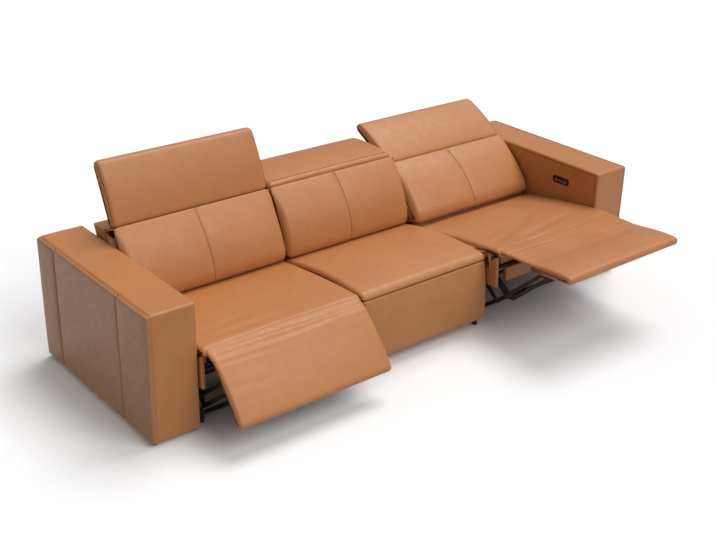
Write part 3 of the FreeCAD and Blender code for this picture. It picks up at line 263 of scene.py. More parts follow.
def plywood(name):
    """Bare board with long, stretched rings."""
    material, nodes, links, shader = new_material(name)
    place = nodes.new("ShaderNodeTexCoord")
    stretch = nodes.new("ShaderNodeMapping")
    stretch.inputs["Scale"].default_value = (1.5, 18, 60)
    rings = noise(nodes, 4, detail=6, rough=0.65)
    links.new(place.outputs["Object"], stretch.inputs["Vector"])
    links.new(stretch.outputs["Vector"], rings.inputs["Vector"])
    blend = nodes.new("ShaderNodeMix")
    blend.data_type = "RGBA"
    blend.inputs["A"].default_value = (0.42, 0.27, 0.14, 1)
    blend.inputs["B"].default_value = (0.60, 0.43, 0.25, 1)
    links.new(rings.outputs["Fac"], blend.inputs["Factor"])
    links.new(blend.outputs["Result"], shader.inputs["Base Color"])
    shader.inputs["Roughness"].default_value = 0.7
    relief = nodes.new("ShaderNodeBump")
    relief.inputs["Strength"].default_value = 0.2
    relief.inputs["Distance"].default_value = 0.0005
    links.new(rings.outputs["Fac"], relief.inputs["Height"])
    links.new(relief.outputs["Normal"], shader.inputs["Normal"])
    return material


TAN = leather("tan_leather", (0.51, 0.205, 0.068), (0.455, 0.172, 0.052))
# Paler, greyer copy of the tan leather for the arms' outer panels: a painted sheen, the same hide with its
# glancing reflection painted into the colour
TAN_PAINTED_SHEEN = leather("tan_leather_painted_sheen", (0.43, 0.198, 0.088), (0.375, 0.165, 0.068))
SEAM = speckled("seam_thread", (0.06, 0.024, 0.010), 0.8, scale=600)
# Near black for the seat boxes: painted shade, standing for the leather-clad boxes in shadow under the
# seats and footrests
BOX_PAINTED_SHADE = speckled("black_box_painted_shade", (0.02, 0.018, 0.017), 0.85, scale=500, bump=0.3)
STEEL = speckled("black_steel", (0.018, 0.018, 0.019), 0.42, scale=300)
BARE = speckled("screw_steel", (0.55, 0.56, 0.58), 0.3, metallic=1.0, scale=400, bump=0.05, spread=0.08)
HOUSING = speckled("motor_plastic", (0.03, 0.03, 0.032), 0.55, scale=700)
PANEL = speckled("control_black", (0.008, 0.008, 0.009), 0.22, scale=900, bump=0.03)
KEY = speckled("control_keys", (0.13, 0.135, 0.145), 0.35, scale=900, bump=0.05)
FOOT = speckled("glide_plastic", (0.015, 0.015, 0.015), 0.6)
BOARD = plywood("frame_board")

CAD_LOOKS = {
    "frame_board": BOARD, "black_steel": STEEL, "screw_steel": BARE, "motor_plastic": HOUSING,
    "control_black": PANEL, "control_keys": KEY, "glide_plastic": FOOT, "tan_leather": TAN,
}


# Padded forms: a rounded block of quads, reshaped by a function on its points

def lines(low, high, radius, step):
    """Grid coordinates from low to high, close together at the rounded ends."""
    shares = (0, 0.12, 0.3, 0.55, 0.8, 1)
    closest = 0.0008
    marks = [low + radius * share for share in shares]
    marks += [high - radius * share for share in shares]
    count = max(2, round((high - low - 2 * radius) / step))
    marks += list(np.linspace(low + radius, high - radius, count + 1))
    marks = sorted(m for m in marks if low <= m <= high)
    kept = [marks[0]]
    for m in marks[1:]:
        if m - kept[-1] > closest:
            kept.append(m)
    kept[-1] = high
    return np.array(kept)


def rounded_block(grid, radius):
    """Points and quads of a block with rounded edges, on the three lists of grid coordinates."""
    counts = [len(g) for g in grid]
    index = {}
    points = []

    def point(i, j, k):
        key = (i, j, k)
        if key not in index:
            index[key] = len(points)
            points.append((grid[0][i], grid[1][j], grid[2][k]))
        return index[key]

    quads = []
    for axis in range(3):
        b, c = (axis + 1) % 3, (axis + 2) % 3
        for end in (0, counts[axis] - 1):
            for i in range(counts[b] - 1):
                for j in range(counts[c] - 1):
                    loop = []
                    for di, dj in ((0, 0), (1, 0), (1, 1), (0, 1)):
                        corner = [0, 0, 0]
                        corner[axis], corner[b], corner[c] = end, i + di, j + dj
                        loop.append(point(*corner))
                    quads.append(loop if end else loop[::-1])
    points = np.array(points)
    low = np.array([g[0] for g in grid]) + radius
    high = np.array([g[-1] for g in grid]) - radius
    core = np.clip(points, low, high)
    offset = points - core
    length = np.linalg.norm(offset, axis=1)
    outside = length > 1e-9
    points[outside] = core[outside] + offset[outside] / length[outside, None] * radius
    return points, quads


def mirrored(points, quads, sign):
    """Points and quads as they are for sign 1, and their mirror image in X for sign -1."""
    if sign < 0:
        points[:, 0] *= -1
        quads = [q[::-1] for q in quads]
    return points, quads


def joined(blocks):
    """Points and faces of several blocks in one list of each."""
    points, faces = [], []
    for block_points, quads in blocks:
        base = len(points)
        points += list(block_points)
        faces += [[i + base for i in q] for q in quads]
    return points, faces


def new_mesh(name, points, faces, material):
    """Smooth-shaded object from points and faces."""
    mesh = bpy.data.meshes.new(name)
    mesh.from_pydata([tuple(p) for p in points], [], faces)
    mesh.validate()
    mesh.shade_smooth()
    obj = bpy.data.objects.new(name, mesh)
    bpy.context.scene.collection.objects.link(obj)
    mesh.materials.append(material)
    return obj


def place(obj, matrix, body):
    """Moves a drawn piece into the kept pose and lets it ride on its body."""
    obj.data.transform(matrix)
    obj.data.update()
    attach(obj, body)


def bell(distance, width):
    """1 at distance 0, falling to nearly 0 at twice the width."""
    return np.exp(-(distance / width) ** 2)


def ripple(points, scale, seed):
    """Smooth, repeatable unevenness between about -1 and 1."""
    total = np.zeros(len(points))
    rng = np.random.default_rng(seed)
    for octave in range(7):
        direction = rng.normal(size=3)
        direction /= np.linalg.norm(direction)
        phase = rng.uniform(0, 2 * math.pi)
        total += np.sin(points @ direction * (2 * math.pi / (scale * (1 + 0.23 * octave))) + phase)
    return total / 7


def crease(points, start, end, width, depth, axes=(0, 1)):
    """Depth of a crease that runs from start to end in the plane of two axes, with a low ridge on either
    side, fading at both ends."""
    ridge, ridge_at = 0.45, 1.9 * width
    a, b = np.array(start), np.array(end)
    flat = points[:, list(axes)]
    along = b - a
    length = np.linalg.norm(along)
    along = along / length
    across = np.array([-along[1], along[0]])
    t = (flat - a) @ along / length
    d = (flat - a) @ across
    fade = np.clip(t / 0.2, 0, 1) * np.clip((1 - t) / 0.35, 0, 1)
    fade = fade * fade * (3 - 2 * fade)
    one_side, other_side = (ridge * bell(d + sign * ridge_at, width) for sign in (-1, 1))
    return -depth * fade * (bell(d, width) - one_side - other_side)


# Cushions: a closed profile in y and z, swept along X, with pillow ends

PROFILE_STEP = 0.0045
CUSHION_STEP = 0.012


def closed_profile(corners, soften):
    """Evenly spaced points round a profile of (y, z, bulge of the side after it), its corners softened."""
    path = []
    for i, (y, z, bulge) in enumerate(corners):
        end = corners[(i + 1) % len(corners)]
        t = np.linspace(0, 1, 40, endpoint=False)
        dy, dz = end[0] - y, end[1] - z
        length = math.hypot(dy, dz)
        rise = 4 * bulge * t * (1 - t)
        path.append(np.column_stack([y + dy * t + rise * dz / length, z + dz * t - rise * dy / length]))
    path = np.vstack(path + [path[0][:1]])
    along = np.concatenate([[0], np.cumsum(np.linalg.norm(np.diff(path, axis=0), axis=1))])
    count = int(round(along[-1] / PROFILE_STEP))
    places = np.arange(count) * along[-1] / count
    points = np.column_stack([np.interp(places, along, path[:, k]) for k in (0, 1)])
    width = soften / (along[-1] / count)
    reach = int(3 * width) + 1
    kernel = np.exp(-0.5 * (np.arange(-reach, reach + 1) / max(width, 1e-6)) ** 2)
    kernel /= kernel.sum()
    wrapped = np.vstack([points[-reach:], points, points[:reach]])
    return np.column_stack([np.convolve(wrapped[:, k], kernel, "valid") for k in (0, 1)])


def outward(profile):
    """Unit normals of a profile that runs anticlockwise seen from +X."""
    tangent = np.roll(profile, -1, axis=0) - np.roll(profile, 1, axis=0)
    tangent /= np.linalg.norm(tangent, axis=1)[:, None]
    return np.column_stack([tangent[:, 1], -tangent[:, 0]])


def smoothed(weight, reach):
    """Running mean round a closed profile, over the reach on either side."""
    wrapped = np.concatenate([weight[-reach:], weight, weight[:reach]])
    return np.convolve(wrapped, np.ones(2 * reach + 1) / (2 * reach + 1), "valid")


def stations(half, edge, extra):
    """Places along X, close together over the rounded ends and at the extra places."""
    clear = 0.004
    turn_in = [edge * (1 - math.sin(a)) for a in np.linspace(math.pi / 2, 0, 9)]
    count = max(4, int(round((2 * half - 2 * edge) / CUSHION_STEP)))
    inner = list(np.linspace(edge - half, half - edge, count + 1))[1:-1]
    if extra:
        inner = sorted([x for x in inner if min(abs(x - e) for e in extra) > clear] + list(extra))
    ends = [edge - half - (edge - e) for e in turn_in]
    return np.array(ends + inner + [-x for x in reversed(ends)])


def cushion(name, profile, half, shape, edge, weight=None, extra=()):
    """Sweeps a profile in tan leather between x = -half and half, with ends rounded by the radius edge.
    shape(u, x, profile, normals) gives the push along the normals, with u as x / half; weight says how far
    each profile point is drawn in at the ends, and extra names more places for a row of points."""
    normals = outward(profile)
    weight = np.ones(len(profile)) if weight is None else weight
    rows = []
    xs = stations(half, edge, extra)
    for x in xs:
        off = max(0.0, abs(x) - (half - edge))
        inset = edge - math.sqrt(max(0.0, edge * edge - off * off))
        push = shape(x / half, x, profile, normals) - inset * weight
        ring = profile + normals * push[:, None]
        rows.append(np.column_stack([np.full(len(ring), x), ring]))
    count = len(profile)
    points = np.vstack(rows)
    faces = []
    for k in range(len(xs) - 1):
        for m in range(count):
            n = (m + 1) % count
            faces.append(((k + 1) * count + m, (k + 1) * count + n, k * count + n, k * count + m))
    faces.append(tuple(range(count))[::-1])
    faces.append(tuple((len(xs) - 1) * count + m for m in range(count)))
    return new_mesh(name, points, faces, TAN)


def tubes(name, paths, radius, body, matrix, material):
    """Thin round tubes through lists of points."""
    curve = bpy.data.curves.new(name, "CURVE")
    curve.dimensions = "3D"
    curve.bevel_depth = radius
    curve.bevel_resolution = 2
    for points in paths:
        spline = curve.splines.new("POLY")
        spline.points.add(len(points) - 1)
        for target, p in zip(spline.points, points):
            target.co = (*p, 1)
    obj = bpy.data.objects.new(name, curve)
    bpy.context.scene.collection.objects.link(obj)
    curve.materials.append(material)
    curve.transform(matrix)
    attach(obj, body)


STITCH_RADIUS = 0.0014
STITCH_PITCH = 0.0085
STITCH_LENGTH = STITCH_PITCH * 0.68


def stitches(name, points, body, matrix):
    """Row of short dark stitches along the points."""
    line = np.array([tuple(p) for p in points])
    along = np.concatenate([[0], np.cumsum(np.linalg.norm(np.diff(line, axis=0), axis=1))])
    dashes = []
    for start in np.arange(0, along[-1] - STITCH_LENGTH, STITCH_PITCH):
        marks = (start, start + STITCH_LENGTH / 2, start + STITCH_LENGTH)
        dashes.append([[np.interp(m, along, line[:, k]) for k in range(3)] for m in marks])
    tubes(name, dashes, STITCH_RADIUS, body, matrix, SEAM)


def seam_line(name, obj, profile, spot, reach, body, matrix):
    """Stitched line from x = -reach to reach, at the profile point nearest to the spot (y, z)."""
    count = len(profile)
    total = len(obj.data.vertices) // count
    m = int(np.argmin(np.linalg.norm(profile - np.array(spot), axis=1)))
    points = [obj.data.vertices[k * count + m].co.copy() for k in range(total)]
    points = [p for p in points if abs(p.x) <= reach]
    stitches(name, points, body, matrix)


def end_seams(name, obj, profile, keep, body, matrix):
    """Gusset seam round both ends, on the profile points that keep(y, z) names."""
    station = 4
    radius = 0.0010
    count = len(profile)
    total = len(obj.data.vertices) // count
    paths = []
    for k in (station, total - 1 - station):
        ring = [obj.data.vertices[k * count + m].co.copy() for m in range(count)]
        wanted = [bool(keep(*profile[m])) for m in range(count)]
        first = next(m for m in range(count) if wanted[m] and not wanted[m - 1])
        path = []
        for m in range(first, first + count):
            if not wanted[m % count]:
                break
            path.append(tuple(ring[m % count]))
        paths.append(path)
    tubes(name, paths, radius, body, matrix, SEAM)


# Seat cushions, from y = SEAT_FRONT to SEAT_REAR, with a front roll that overhangs the box

SEAT_LOW, SEAT_FRONT, SEAT_REAR = 0.3125, -0.555, 0.078
ROLL_TOP, ROLL_LIP, REAR_TOP = 0.423, 0.391, 0.376

# Pockets below an outer seat, round the footrest's long bars at x = -LINK_X and LINK_X
LINK_X = 0.3705
POCKET_HALF = 0.0095
POCKET_WALLS = (-0.011, -0.009, 0.009, 0.011)
POCKET_REAR = -0.43
POCKET_TOP = 0.356


def seat_top(name, half, pose, body, seed, overhang, crown, edge_share, folds=(), links=False):
    """Crowned leather seat with a rounded front roll. edge_share is the part of the crown that the profile
    keeps at the ends, and links asks for the pockets below."""
    inner = SEAT_FRONT + overhang + 0.008
    profile = closed_profile([
        (inner, SEAT_LOW, 0), (SEAT_REAR, SEAT_LOW, 0), (SEAT_REAR, REAR_TOP + 0.002, crown * edge_share),
        (SEAT_FRONT + 0.036, ROLL_TOP + 0.003, 0.010), (SEAT_FRONT - 0.003, ROLL_LIP, 0.0),
        (inner, ROLL_LIP + 0.004, 0),
    ], soften=0.0068)

    def swell(u, x, line, normals):
        t = np.clip((line[:, 0] - SEAT_FRONT) / (SEAT_REAR - SEAT_FRONT), 0, 1)
        up = np.clip(normals[:, 1], 0, 1)
        arch = np.sin(math.pi * np.clip(t * 0.96 + 0.03, 0, 1)) ** 0.8
        lift = crown * (1 - edge_share) * (1 - abs(u) ** 3) * arch
        spots = np.column_stack([np.full(len(line), x), line])
        lift = lift + 0.0022 * ripple(spots, 0.31, seed) * (1 - abs(u) ** 6)
        for fold in folds:
            lift = lift + crease(spots, *fold)
        return up * lift

    shoulder, below = 0.36, 0.35
    weight = smoothed(np.where(profile[:, 1] > shoulder, 1.0, below), reach=4)
    walls = []
    if links:
        walls = sorted(sign * (LINK_X + gap) for sign in (-1, 1) for gap in POCKET_WALLS)
    top = cushion(name, profile, half, swell, edge=0.020, weight=weight, extra=walls)
    for v in top.data.vertices if links else ():
        if abs(abs(v.co.x) - LINK_X) < POCKET_HALF and v.co.y < POCKET_REAR and v.co.z < POCKET_TOP:
            v.co.z = POCKET_TOP
    place(top, pose, body)
    return top


# Footrest: the pad hangs from PAD_ROOT down, with its face towards -Y at PAD_FACE

PAD_FACE = FOLD[0] + 0.072
PAD_ROOT = FOLD[1] - 0.0975
PAD_LENGTH = 0.262
PAD_DEPTH = 0.040
PAD_HALF = 0.421
PAD_SEEDS = {"left": 21, "right": 22}

# Creases of the pad as (start, end, width, depth), with start and end in x and z
PAD_FOLDS = {
    "left": [((-0.41, PAD_ROOT - 0.088), (-0.10, PAD_ROOT - 0.105), 0.014, 0.0014)],
    "right": [((0.41, PAD_ROOT - 0.090), (0.10, PAD_ROOT - 0.115), 0.014, 0.0014)],
}

# Folds of the bridge as (share of the way down it, depth, slant, phase)
BRIDGE_FOLDS = {
    "left": [(0.34, 0.0030, 0.003, 0.4), (0.52, 0.0040, -0.002, 1.3), (0.72, 0.0028, 0.004, 2.2)],
    "right": [(0.16, 0.0020, 0.016, 0.9), (0.42, 0.0024, 0.022, 2.0), (0.70, 0.0018, 0.020, 3.1)],
}


def footrest(seat):
    """Thin leather panel with a rounded nose; drawn closed, hanging in front of the seat."""
    side = seat["side"]
    back = PAD_FACE + PAD_DEPTH
    nose = PAD_ROOT - PAD_LENGTH
    profile = closed_profile([
        (PAD_FACE - 0.002, nose + 0.020, 0.008), (PAD_FACE + 0.022, nose - 0.003, 0.005),
        (back, nose + 0.012, 0), (back, PAD_ROOT, 0), (PAD_FACE - 0.001, PAD_ROOT + 0.001, 0.006),
    ], soften=0.0052)

    def swell(u, x, line, normals):
        t = np.clip((line[:, 1] - nose) / PAD_LENGTH, 0, 1)
        front = np.clip(-normals[:, 0], 0, 1)
        spots = np.column_stack([np.full(len(line), x), line])
        lift = 0.005 * (1 - abs(u) ** 4) * np.sin(math.pi * t) ** 0.6
        for fold in PAD_FOLDS[side]:
            lift = lift + crease(spots, *fold, axes=(0, 2))
        return front * (lift + 0.0013 * ripple(spots, 0.4, PAD_SEEDS[side]))

    pad = cushion(side + "_footrest_leather", profile, PAD_HALF, swell, edge=0.018)
    place(pad, seat["fold"], side + "_footrest")
    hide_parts(side + "_footrest_pad")


def bridge(seat):
    """Leather that runs from the seat's front roll to the footrest along a curve, with soft creases."""
    side = seat["side"]
    half, deep, reach = 0.4275, 0.013, 0.040
    square = 1e-6
    local = seat["seat"].inverted() @ seat["fold"]
    end = local @ Vector((0, PAD_FACE - 0.0038, PAD_ROOT - reach))
    down = local.to_3x3() @ Vector((0, 0, -1))
    start = Vector((0, SEAT_FRONT + 0.065, ROLL_TOP + 0.0012))
    length = (end - start).length
    knots = [start, start + Vector((0, -1, 0.03)) * length * 0.40, end - down * length * 0.36, end]
    grid = [lines(-half, half, 0.012, 0.012), lines(0, 1, 0.08, 0.016), np.linspace(0, 1, 4)]
    p, quads = rounded_block(grid, radius=square)
    u, s, t = p[:, 0] / half, p[:, 1], p[:, 2]
    shares = [(1 - s) ** 3, 3 * s * (1 - s) ** 2, 3 * s ** 2 * (1 - s), s ** 3]
    slope = [
        -3 * (1 - s) ** 2, 3 * (1 - s) ** 2 - 6 * s * (1 - s),
        6 * s * (1 - s) - 3 * s ** 2, 3 * s ** 2,
    ]
    y, z = (sum(w * k[i] for w, k in zip(shares, knots)) for i in (1, 2))
    dy, dz = (sum(w * k[i] for w, k in zip(slope, knots)) for i in (1, 2))
    size = np.hypot(dy, dz)
    out_y, out_z = dz / size, -dy / size
    wave = 0.0012 * ripple(np.column_stack([p[:, 0], s * length, 0 * s]), 0.25, 5)
    for share, depth, slant, phase in BRIDGE_FOLDS[side]:
        off = (s - share) * length - slant * u - 0.005 * np.sin(u * 3.1 + phase)
        strength = 0.55 + 0.45 * np.sin(u * 2.3 + phase * 1.7)
        wave -= 0.8 * depth * strength * (bell(off, 0.0105) - 0.45 * bell(np.abs(off) - 0.020, 0.012))
    fade = np.clip(np.sin(math.pi * s), 0, 1) ** 0.5
    crown = 0.0030 * (1 - np.abs(u) ** 3)
    corner = np.clip((np.abs(u) - 0.955) / 0.045, 0, 1)
    corner = 0.011 * (1 - np.sqrt(1 - 0.999 * corner ** 2))
    rise = (wave * fade + crown - corner) * t - deep * (1 - t)
    narrow = s * s * (3 - 2 * s)
    x = p[:, 0] * (1 - 0.020 * narrow - 0.006 * np.sin(math.pi * s))
    points = np.column_stack([x, y + out_y * rise, z + out_z * rise])
    flap = new_mesh(side + "_footrest_bridge", points, quads, TAN)
    flap.data.transform(seat["seat"])
    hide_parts(side + "_footrest_flap")
    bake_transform(flap)


# Backs and headrests: a back's front leans from (BACK_FOOT, BACK_LOW) to (BACK_TOP, BACK_HIGH)

BACK_FOOT, BACK_LOW, BACK_TOP, BACK_HIGH = 0.040, 0.392, 0.198, 0.736
BACK_DEPTH = 0.119
BACK_KNEE = 0.060
BACK_SHELF = 0.6895
LEAN = (BACK_TOP - BACK_FOOT) / (BACK_HIGH - BACK_LOW)

# Rows of points beside a back's middle seam
BESIDE = 0.002
SEAM_ROWS = (-0.011, -0.006, -BESIDE, BESIDE, 0.006, 0.011)


def back_form(name, half, pose, body, node, seed, crown, edge_share, top):
    """Back cushion with a middle seam, a rounded foot and pillow ends; top lifts its upper edge."""
    rear = BACK_FOOT + BACK_DEPTH
    profile = closed_profile([
        (BACK_FOOT + 0.006, BACK_LOW - 0.003, 0), (rear, BACK_LOW, 0),
        (rear + LEAN * (BACK_SHELF - BACK_LOW), BACK_SHELF, 0), (BACK_TOP + 0.004, BACK_SHELF, 0),
        (BACK_TOP + 0.005, BACK_HIGH + top, crown * edge_share),
        (BACK_FOOT - 0.002, BACK_LOW + BACK_KNEE, 0.006),
    ], soften=0.0062)
    height = BACK_HIGH - BACK_LOW

    def swell(u, x, line, normals):
        t = np.clip((line[:, 1] - BACK_LOW) / height, 0, 1)
        front = np.clip(-normals[:, 0] * 1.4, 0, 1)
        spots = np.column_stack([np.full(len(line), x), line])
        arch = np.clip(np.sin(math.pi * np.clip(t * 0.97 + 0.02, 0, 1)), 0, 1) ** 0.75
        lift = crown * (1 - edge_share) * (1 - abs(u) ** 3) * arch
        groove = 0.0040 * math.exp(-abs(x) / 0.022) + 0.0020 * math.exp(-(x / 0.005) ** 2)
        return front * (lift - groove * np.clip(t * 9, 0, 1) + 0.0018 * ripple(spots, 0.35, seed))

    behind = profile[:, 0] > rear + LEAN * (profile[:, 1] - BACK_LOW) - 0.02
    weight = np.clip((BACK_HIGH - 0.004 - profile[:, 1]) / 0.11, 0.28, 1) * np.where(behind, 0.3, 1)
    weight = smoothed(weight, reach=5)
    form = cushion(name, profile, half, swell, edge=0.034, weight=weight, extra=SEAM_ROWS)
    line = [v.co.copy() for v in form.data.vertices if abs(v.co.x - BESIDE) < 1e-5]
    line = [p for p in line if BACK_LOW + 0.004 < p.z and p.y < BACK_FOOT + 0.012 + LEAN * (p.z - BACK_LOW)]
    line = [p - Vector((BESIDE, 0, 0)) for p in sorted(line, key=lambda p: p.z)]
    stitches(name + "_seam", line, body, pose)
    welt = (BACK_FOOT + 0.001, BACK_LOW + 0.011)
    seam_line(name + "_welt", form, profile, welt, half - 0.012, body, pose)
    place(form, pose, body)
    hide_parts(node)


def headrest_form(name, half, pose, body, node, seed, chin):
    """Headrest, drawn folded flat behind the back; chin rounds the edge that meets the back cushion."""
    near, far = 0.209, 0.532
    low, top = 0.6968, 0.750
    profile = closed_profile([
        (near - 0.001, low, 0), (far - 0.026, low, 0.005), (far + 0.003, low + 0.024, 0.003),
        (far + 0.001, top - 0.018, 0.002), (far - 0.020, top + 0.003, 0.0095),
        (near - 0.001 + chin, top - 0.005, chin * 0.2), (near - 0.001, top - 0.007 - chin, 0),
    ], soften=0.0068)

    def swell(u, x, line, normals):
        t = np.clip((line[:, 0] - near) / (far - near), 0, 1)
        up = np.clip(normals[:, 1] * 1.3, 0, 1)
        spots = np.column_stack([np.full(len(line), x), line])
        lift = 0.0065 * (1 - abs(u) ** 3) * np.sin(math.pi * t) ** 0.6
        return up * (lift + 0.0016 * ripple(spots, 0.33, seed))

    def on_gusset(y, z):
        return z > low + 0.012 and y > near + 0.02

    form = cushion(name, profile, half, swell, edge=0.026)
    if chin > 0.01:
        end_seams(name + "_gusset", form, profile, on_gusset, body, pose)
    else:
        seam_line(name + "_seam", form, profile, (near + 0.024, top), half - 0.016, body, pose)
    place(form, pose, body)
    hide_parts(node)


# Arms

COVER_OUTER = 1.5085
WELT_X = 1.5095
ARM_PAD_INNER, ARM_PAD_OUTER = 1.496, 1.5285
ARM_PAD_SEAMS = (-0.255, 0.340)


def arm_cover(side, sign):
    """Leather over the top, the inside and both ends of an arm; open below like the real cover."""
    xs = lines(ARM_INNER, COVER_OUTER, 0.014, 0.02)
    ys = lines(-ARM_HALF, ARM_HALF, 0.014, 0.02)
    zs = lines(ARM_LOW, ARM_TOP, 0.014, 0.02)
    p, quads = rounded_block([xs, ys, zs], radius=0.0135)
    inner = bell(p[:, 0] - ARM_INNER, 0.012)
    top = bell(p[:, 2] - ARM_TOP, 0.012)
    p[:, 2] += top * 0.0015 * ripple(p, 0.28, 41)
    p[:, 0] += inner * 0.0015 * ripple(p, 0.33, 43)
    quads = [q for q in quads if max(p[i][2] for i in q) > ARM_LOW + 1e-5]
    cover = new_mesh(side + "_arm_leather", *mirrored(p, quads, sign), TAN)
    thick = cover.modifiers.new("padding", "SOLIDIFY")
    thick.thickness = 0.020
    thick.offset = -1
    place(cover, ROW, "sofa_base")
    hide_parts(side + "_arm_cover")


def arm_panels(side, sign):
    """Three upright padded panels on the arm's outer side, puckered below their upper edge."""
    stops = [-ARM_HALF + 0.002, *ARM_PAD_SEAMS, ARM_HALF - 0.002]
    top = ARM_TOP - 0.004
    flat, puffed = 1.500, 0.0285
    pucker_pitch = 0.031
    blocks = []
    for first, last in zip(stops, stops[1:]):
        xs = lines(ARM_PAD_INNER, ARM_PAD_OUTER, 0.012, 0.02)
        ys = lines(first + 0.0003, last - 0.0003, 0.012, 0.018)
        zs = lines(ARM_LOW, top, 0.012, 0.02)
        p, quads = rounded_block([xs, ys, zs], radius=0.0125)
        v = (p[:, 1] - (first + last) / 2) / ((last - first) / 2)
        w = (p[:, 2] - ARM_LOW) / (top - ARM_LOW)
        out = np.clip((p[:, 0] - flat) / puffed, 0, 1)
        pucker = 0.0012 * np.sin(p[:, 1] * 2 * math.pi / pucker_pitch) * bell(w - 0.95, 0.06)
        pucker = pucker * (1 - np.abs(v) ** 6)
        swell = (1 - v ** 4) * np.clip(np.sin(math.pi * np.clip(w, 0, 1)), 0, 1) ** 0.35
        p[:, 0] += out * (0.0065 * swell - 0.002 + 0.001 * ripple(p, 0.3, 61) + pucker)
        blocks.append(mirrored(p, quads, sign))
    # The outer panels use the greyer copy of the leather, which is a painted sheen
    panels = new_mesh(side + "_arm_panels", *joined(blocks), TAN_PAINTED_SHEEN)
    place(panels, ROW, "sofa_base")
    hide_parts(side + "_arm_outer_pad")


def arm_piping(side, sign):
    """Welt round the arm's outer edge, and the seam up the front and along the top of its inner edge."""
    edge = WELT_X * sign
    corner, quarter = 0.012, math.pi / 2
    foot = ARM_LOW + 0.004
    y = ARM_HALF - 0.0035
    top = ARM_TOP - 0.0035
    path = [(edge, -y, foot)]
    for end, angles in ((-1, np.linspace(0, quarter, 6)), (1, np.linspace(quarter, 0, 6))):
        for a in angles:
            path.append((edge, end * (y - corner * (1 - math.cos(a))), top - corner * (1 - math.sin(a))))
    path.append((edge, y, foot))
    tubes(side + "_arm_welt", [path], 0.0026, "sofa_base", ROW, TAN)
    seam_x = sign * (ARM_INNER - 0.0002)
    seam_y, seam_z = -ARM_HALF + 0.015, ARM_TOP - 0.015
    post = [(seam_x, seam_y, z) for z in np.linspace(ARM_LOW + 0.01, seam_z, 12)]
    rail = [(seam_x, y, seam_z) for y in np.linspace(seam_y, ARM_HALF - 0.02, 12)]
    tubes(side + "_arm_inner_seam", [post + rail], 0.0012, "sofa_base", ROW, SEAM)


# Middle front panel and the leather on the outer seats' boxes

def front_panel():
    """Padded leather front below the middle seat."""
    half = MIDDLE_HALF - 0.003
    low, high = 0.054, 0.386
    front, back = SEAT_FRONT, SEAT_FRONT + 0.025
    profile = closed_profile([
        (front - 0.004, low - 0.001, 0), (back, low, 0), (back, high, 0),
        (front - 0.001, high + 0.001, 0.009), (front - 0.026, low + 0.058, 0.007),
    ], soften=0.0055)

    def swell(u, x, line, normals):
        t = np.clip((line[:, 1] - low) / (high - low), 0, 1)
        face = np.clip(-normals[:, 0], 0, 1)
        spots = np.column_stack([np.full(len(line), x), line])
        lift = 0.0035 * (1 - abs(u) ** 4) * np.sin(math.pi * t) ** 0.5
        return face * (lift + 0.001 * ripple(spots, 0.3, 71))

    weight = np.where(profile[:, 0] < front + 0.008, 1.0, 0.4)
    panel = cushion("middle_front_leather", profile, half, swell, edge=0.016, weight=weight)
    place(panel, ROW, "sofa_base")
    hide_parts("middle_front_panel")


BOX_FRONT, BOX_REAR = -0.527, 0.079
BOX_LOW, BOX_HIGH = 0.216, 0.385
BOX_SIDE = 0.0205
RAIL_HALF = 0.347
RAIL_FRONT, RAIL_REAR = -0.5165, -0.4925
RAIL_LOW, RAIL_HIGH = 0.229, 0.3035


def box_leather(seat):
    """Upholstered sides of an outer seat's box, lower behind the front roll, and the rail between them."""
    side = seat["side"]
    half = OUTER_HALF - 0.002
    step_at, step_length, step_down = -0.497, 0.02, 0.075
    blocks = []
    for sign in (-1, 1):
        xs = lines(half - BOX_SIDE, half, 0.006, 0.02)
        ys = lines(BOX_FRONT, BOX_REAR, 0.008, 0.03)
        zs = lines(BOX_LOW, BOX_HIGH, 0.008, 0.02)
        p, quads = rounded_block([xs, ys, zs], radius=0.0075)
        cap = BOX_HIGH - step_down * np.clip((p[:, 1] - step_at) / step_length, 0, 1)
        p[:, 2] = np.minimum(p[:, 2], cap)
        blocks.append(mirrored(p, quads, sign))
    xs = lines(-RAIL_HALF, RAIL_HALF, 0.006, 0.03)
    ys = lines(RAIL_FRONT, RAIL_REAR, 0.006, 0.02)
    zs = lines(RAIL_LOW, RAIL_HIGH, 0.006, 0.02)
    blocks.append(rounded_block([xs, ys, zs], radius=0.0055))
    skirt = new_mesh(side + "_seat_skirt", *joined(blocks), TAN)
    place(skirt, seat["seat"], side + "_seat")


def soft_edges(node, name, width, segments, degrees):
    """Bevel on the edges that turn by more than the given degrees."""
    bevel = node.modifiers.new(name, "BEVEL")
    bevel.width = width
    bevel.segments = segments
    bevel.limit_method = "ANGLE"
    bevel.angle_limit = math.radians(degrees)


def shell_leather(name):
    """Soft edges for the leather-covered shell behind a back cushion."""
    soft_edges(frame["nodes"][name], "soft_edges", width=0.006, segments=3, degrees=40)


# Assembly of the three seats and the arms

# Creases of the outer seats as (start, end, width, depth), with start and end in x and y
SEAT_FOLDS = {
    "left": [
        ((-0.43, -0.47), (0.15, -0.475), 0.020, 0.0018),
        ((-0.40, -0.43), (-0.05, -0.38), 0.024, 0.0016),
    ],
    "right": [
        ((-0.42, -0.47), (0.10, -0.28), 0.024, 0.0032),
        ((-0.36, -0.38), (0.26, -0.20), 0.026, 0.0022),
        ((-0.25, -0.50), (0.34, -0.38), 0.022, 0.0026),
    ],
}

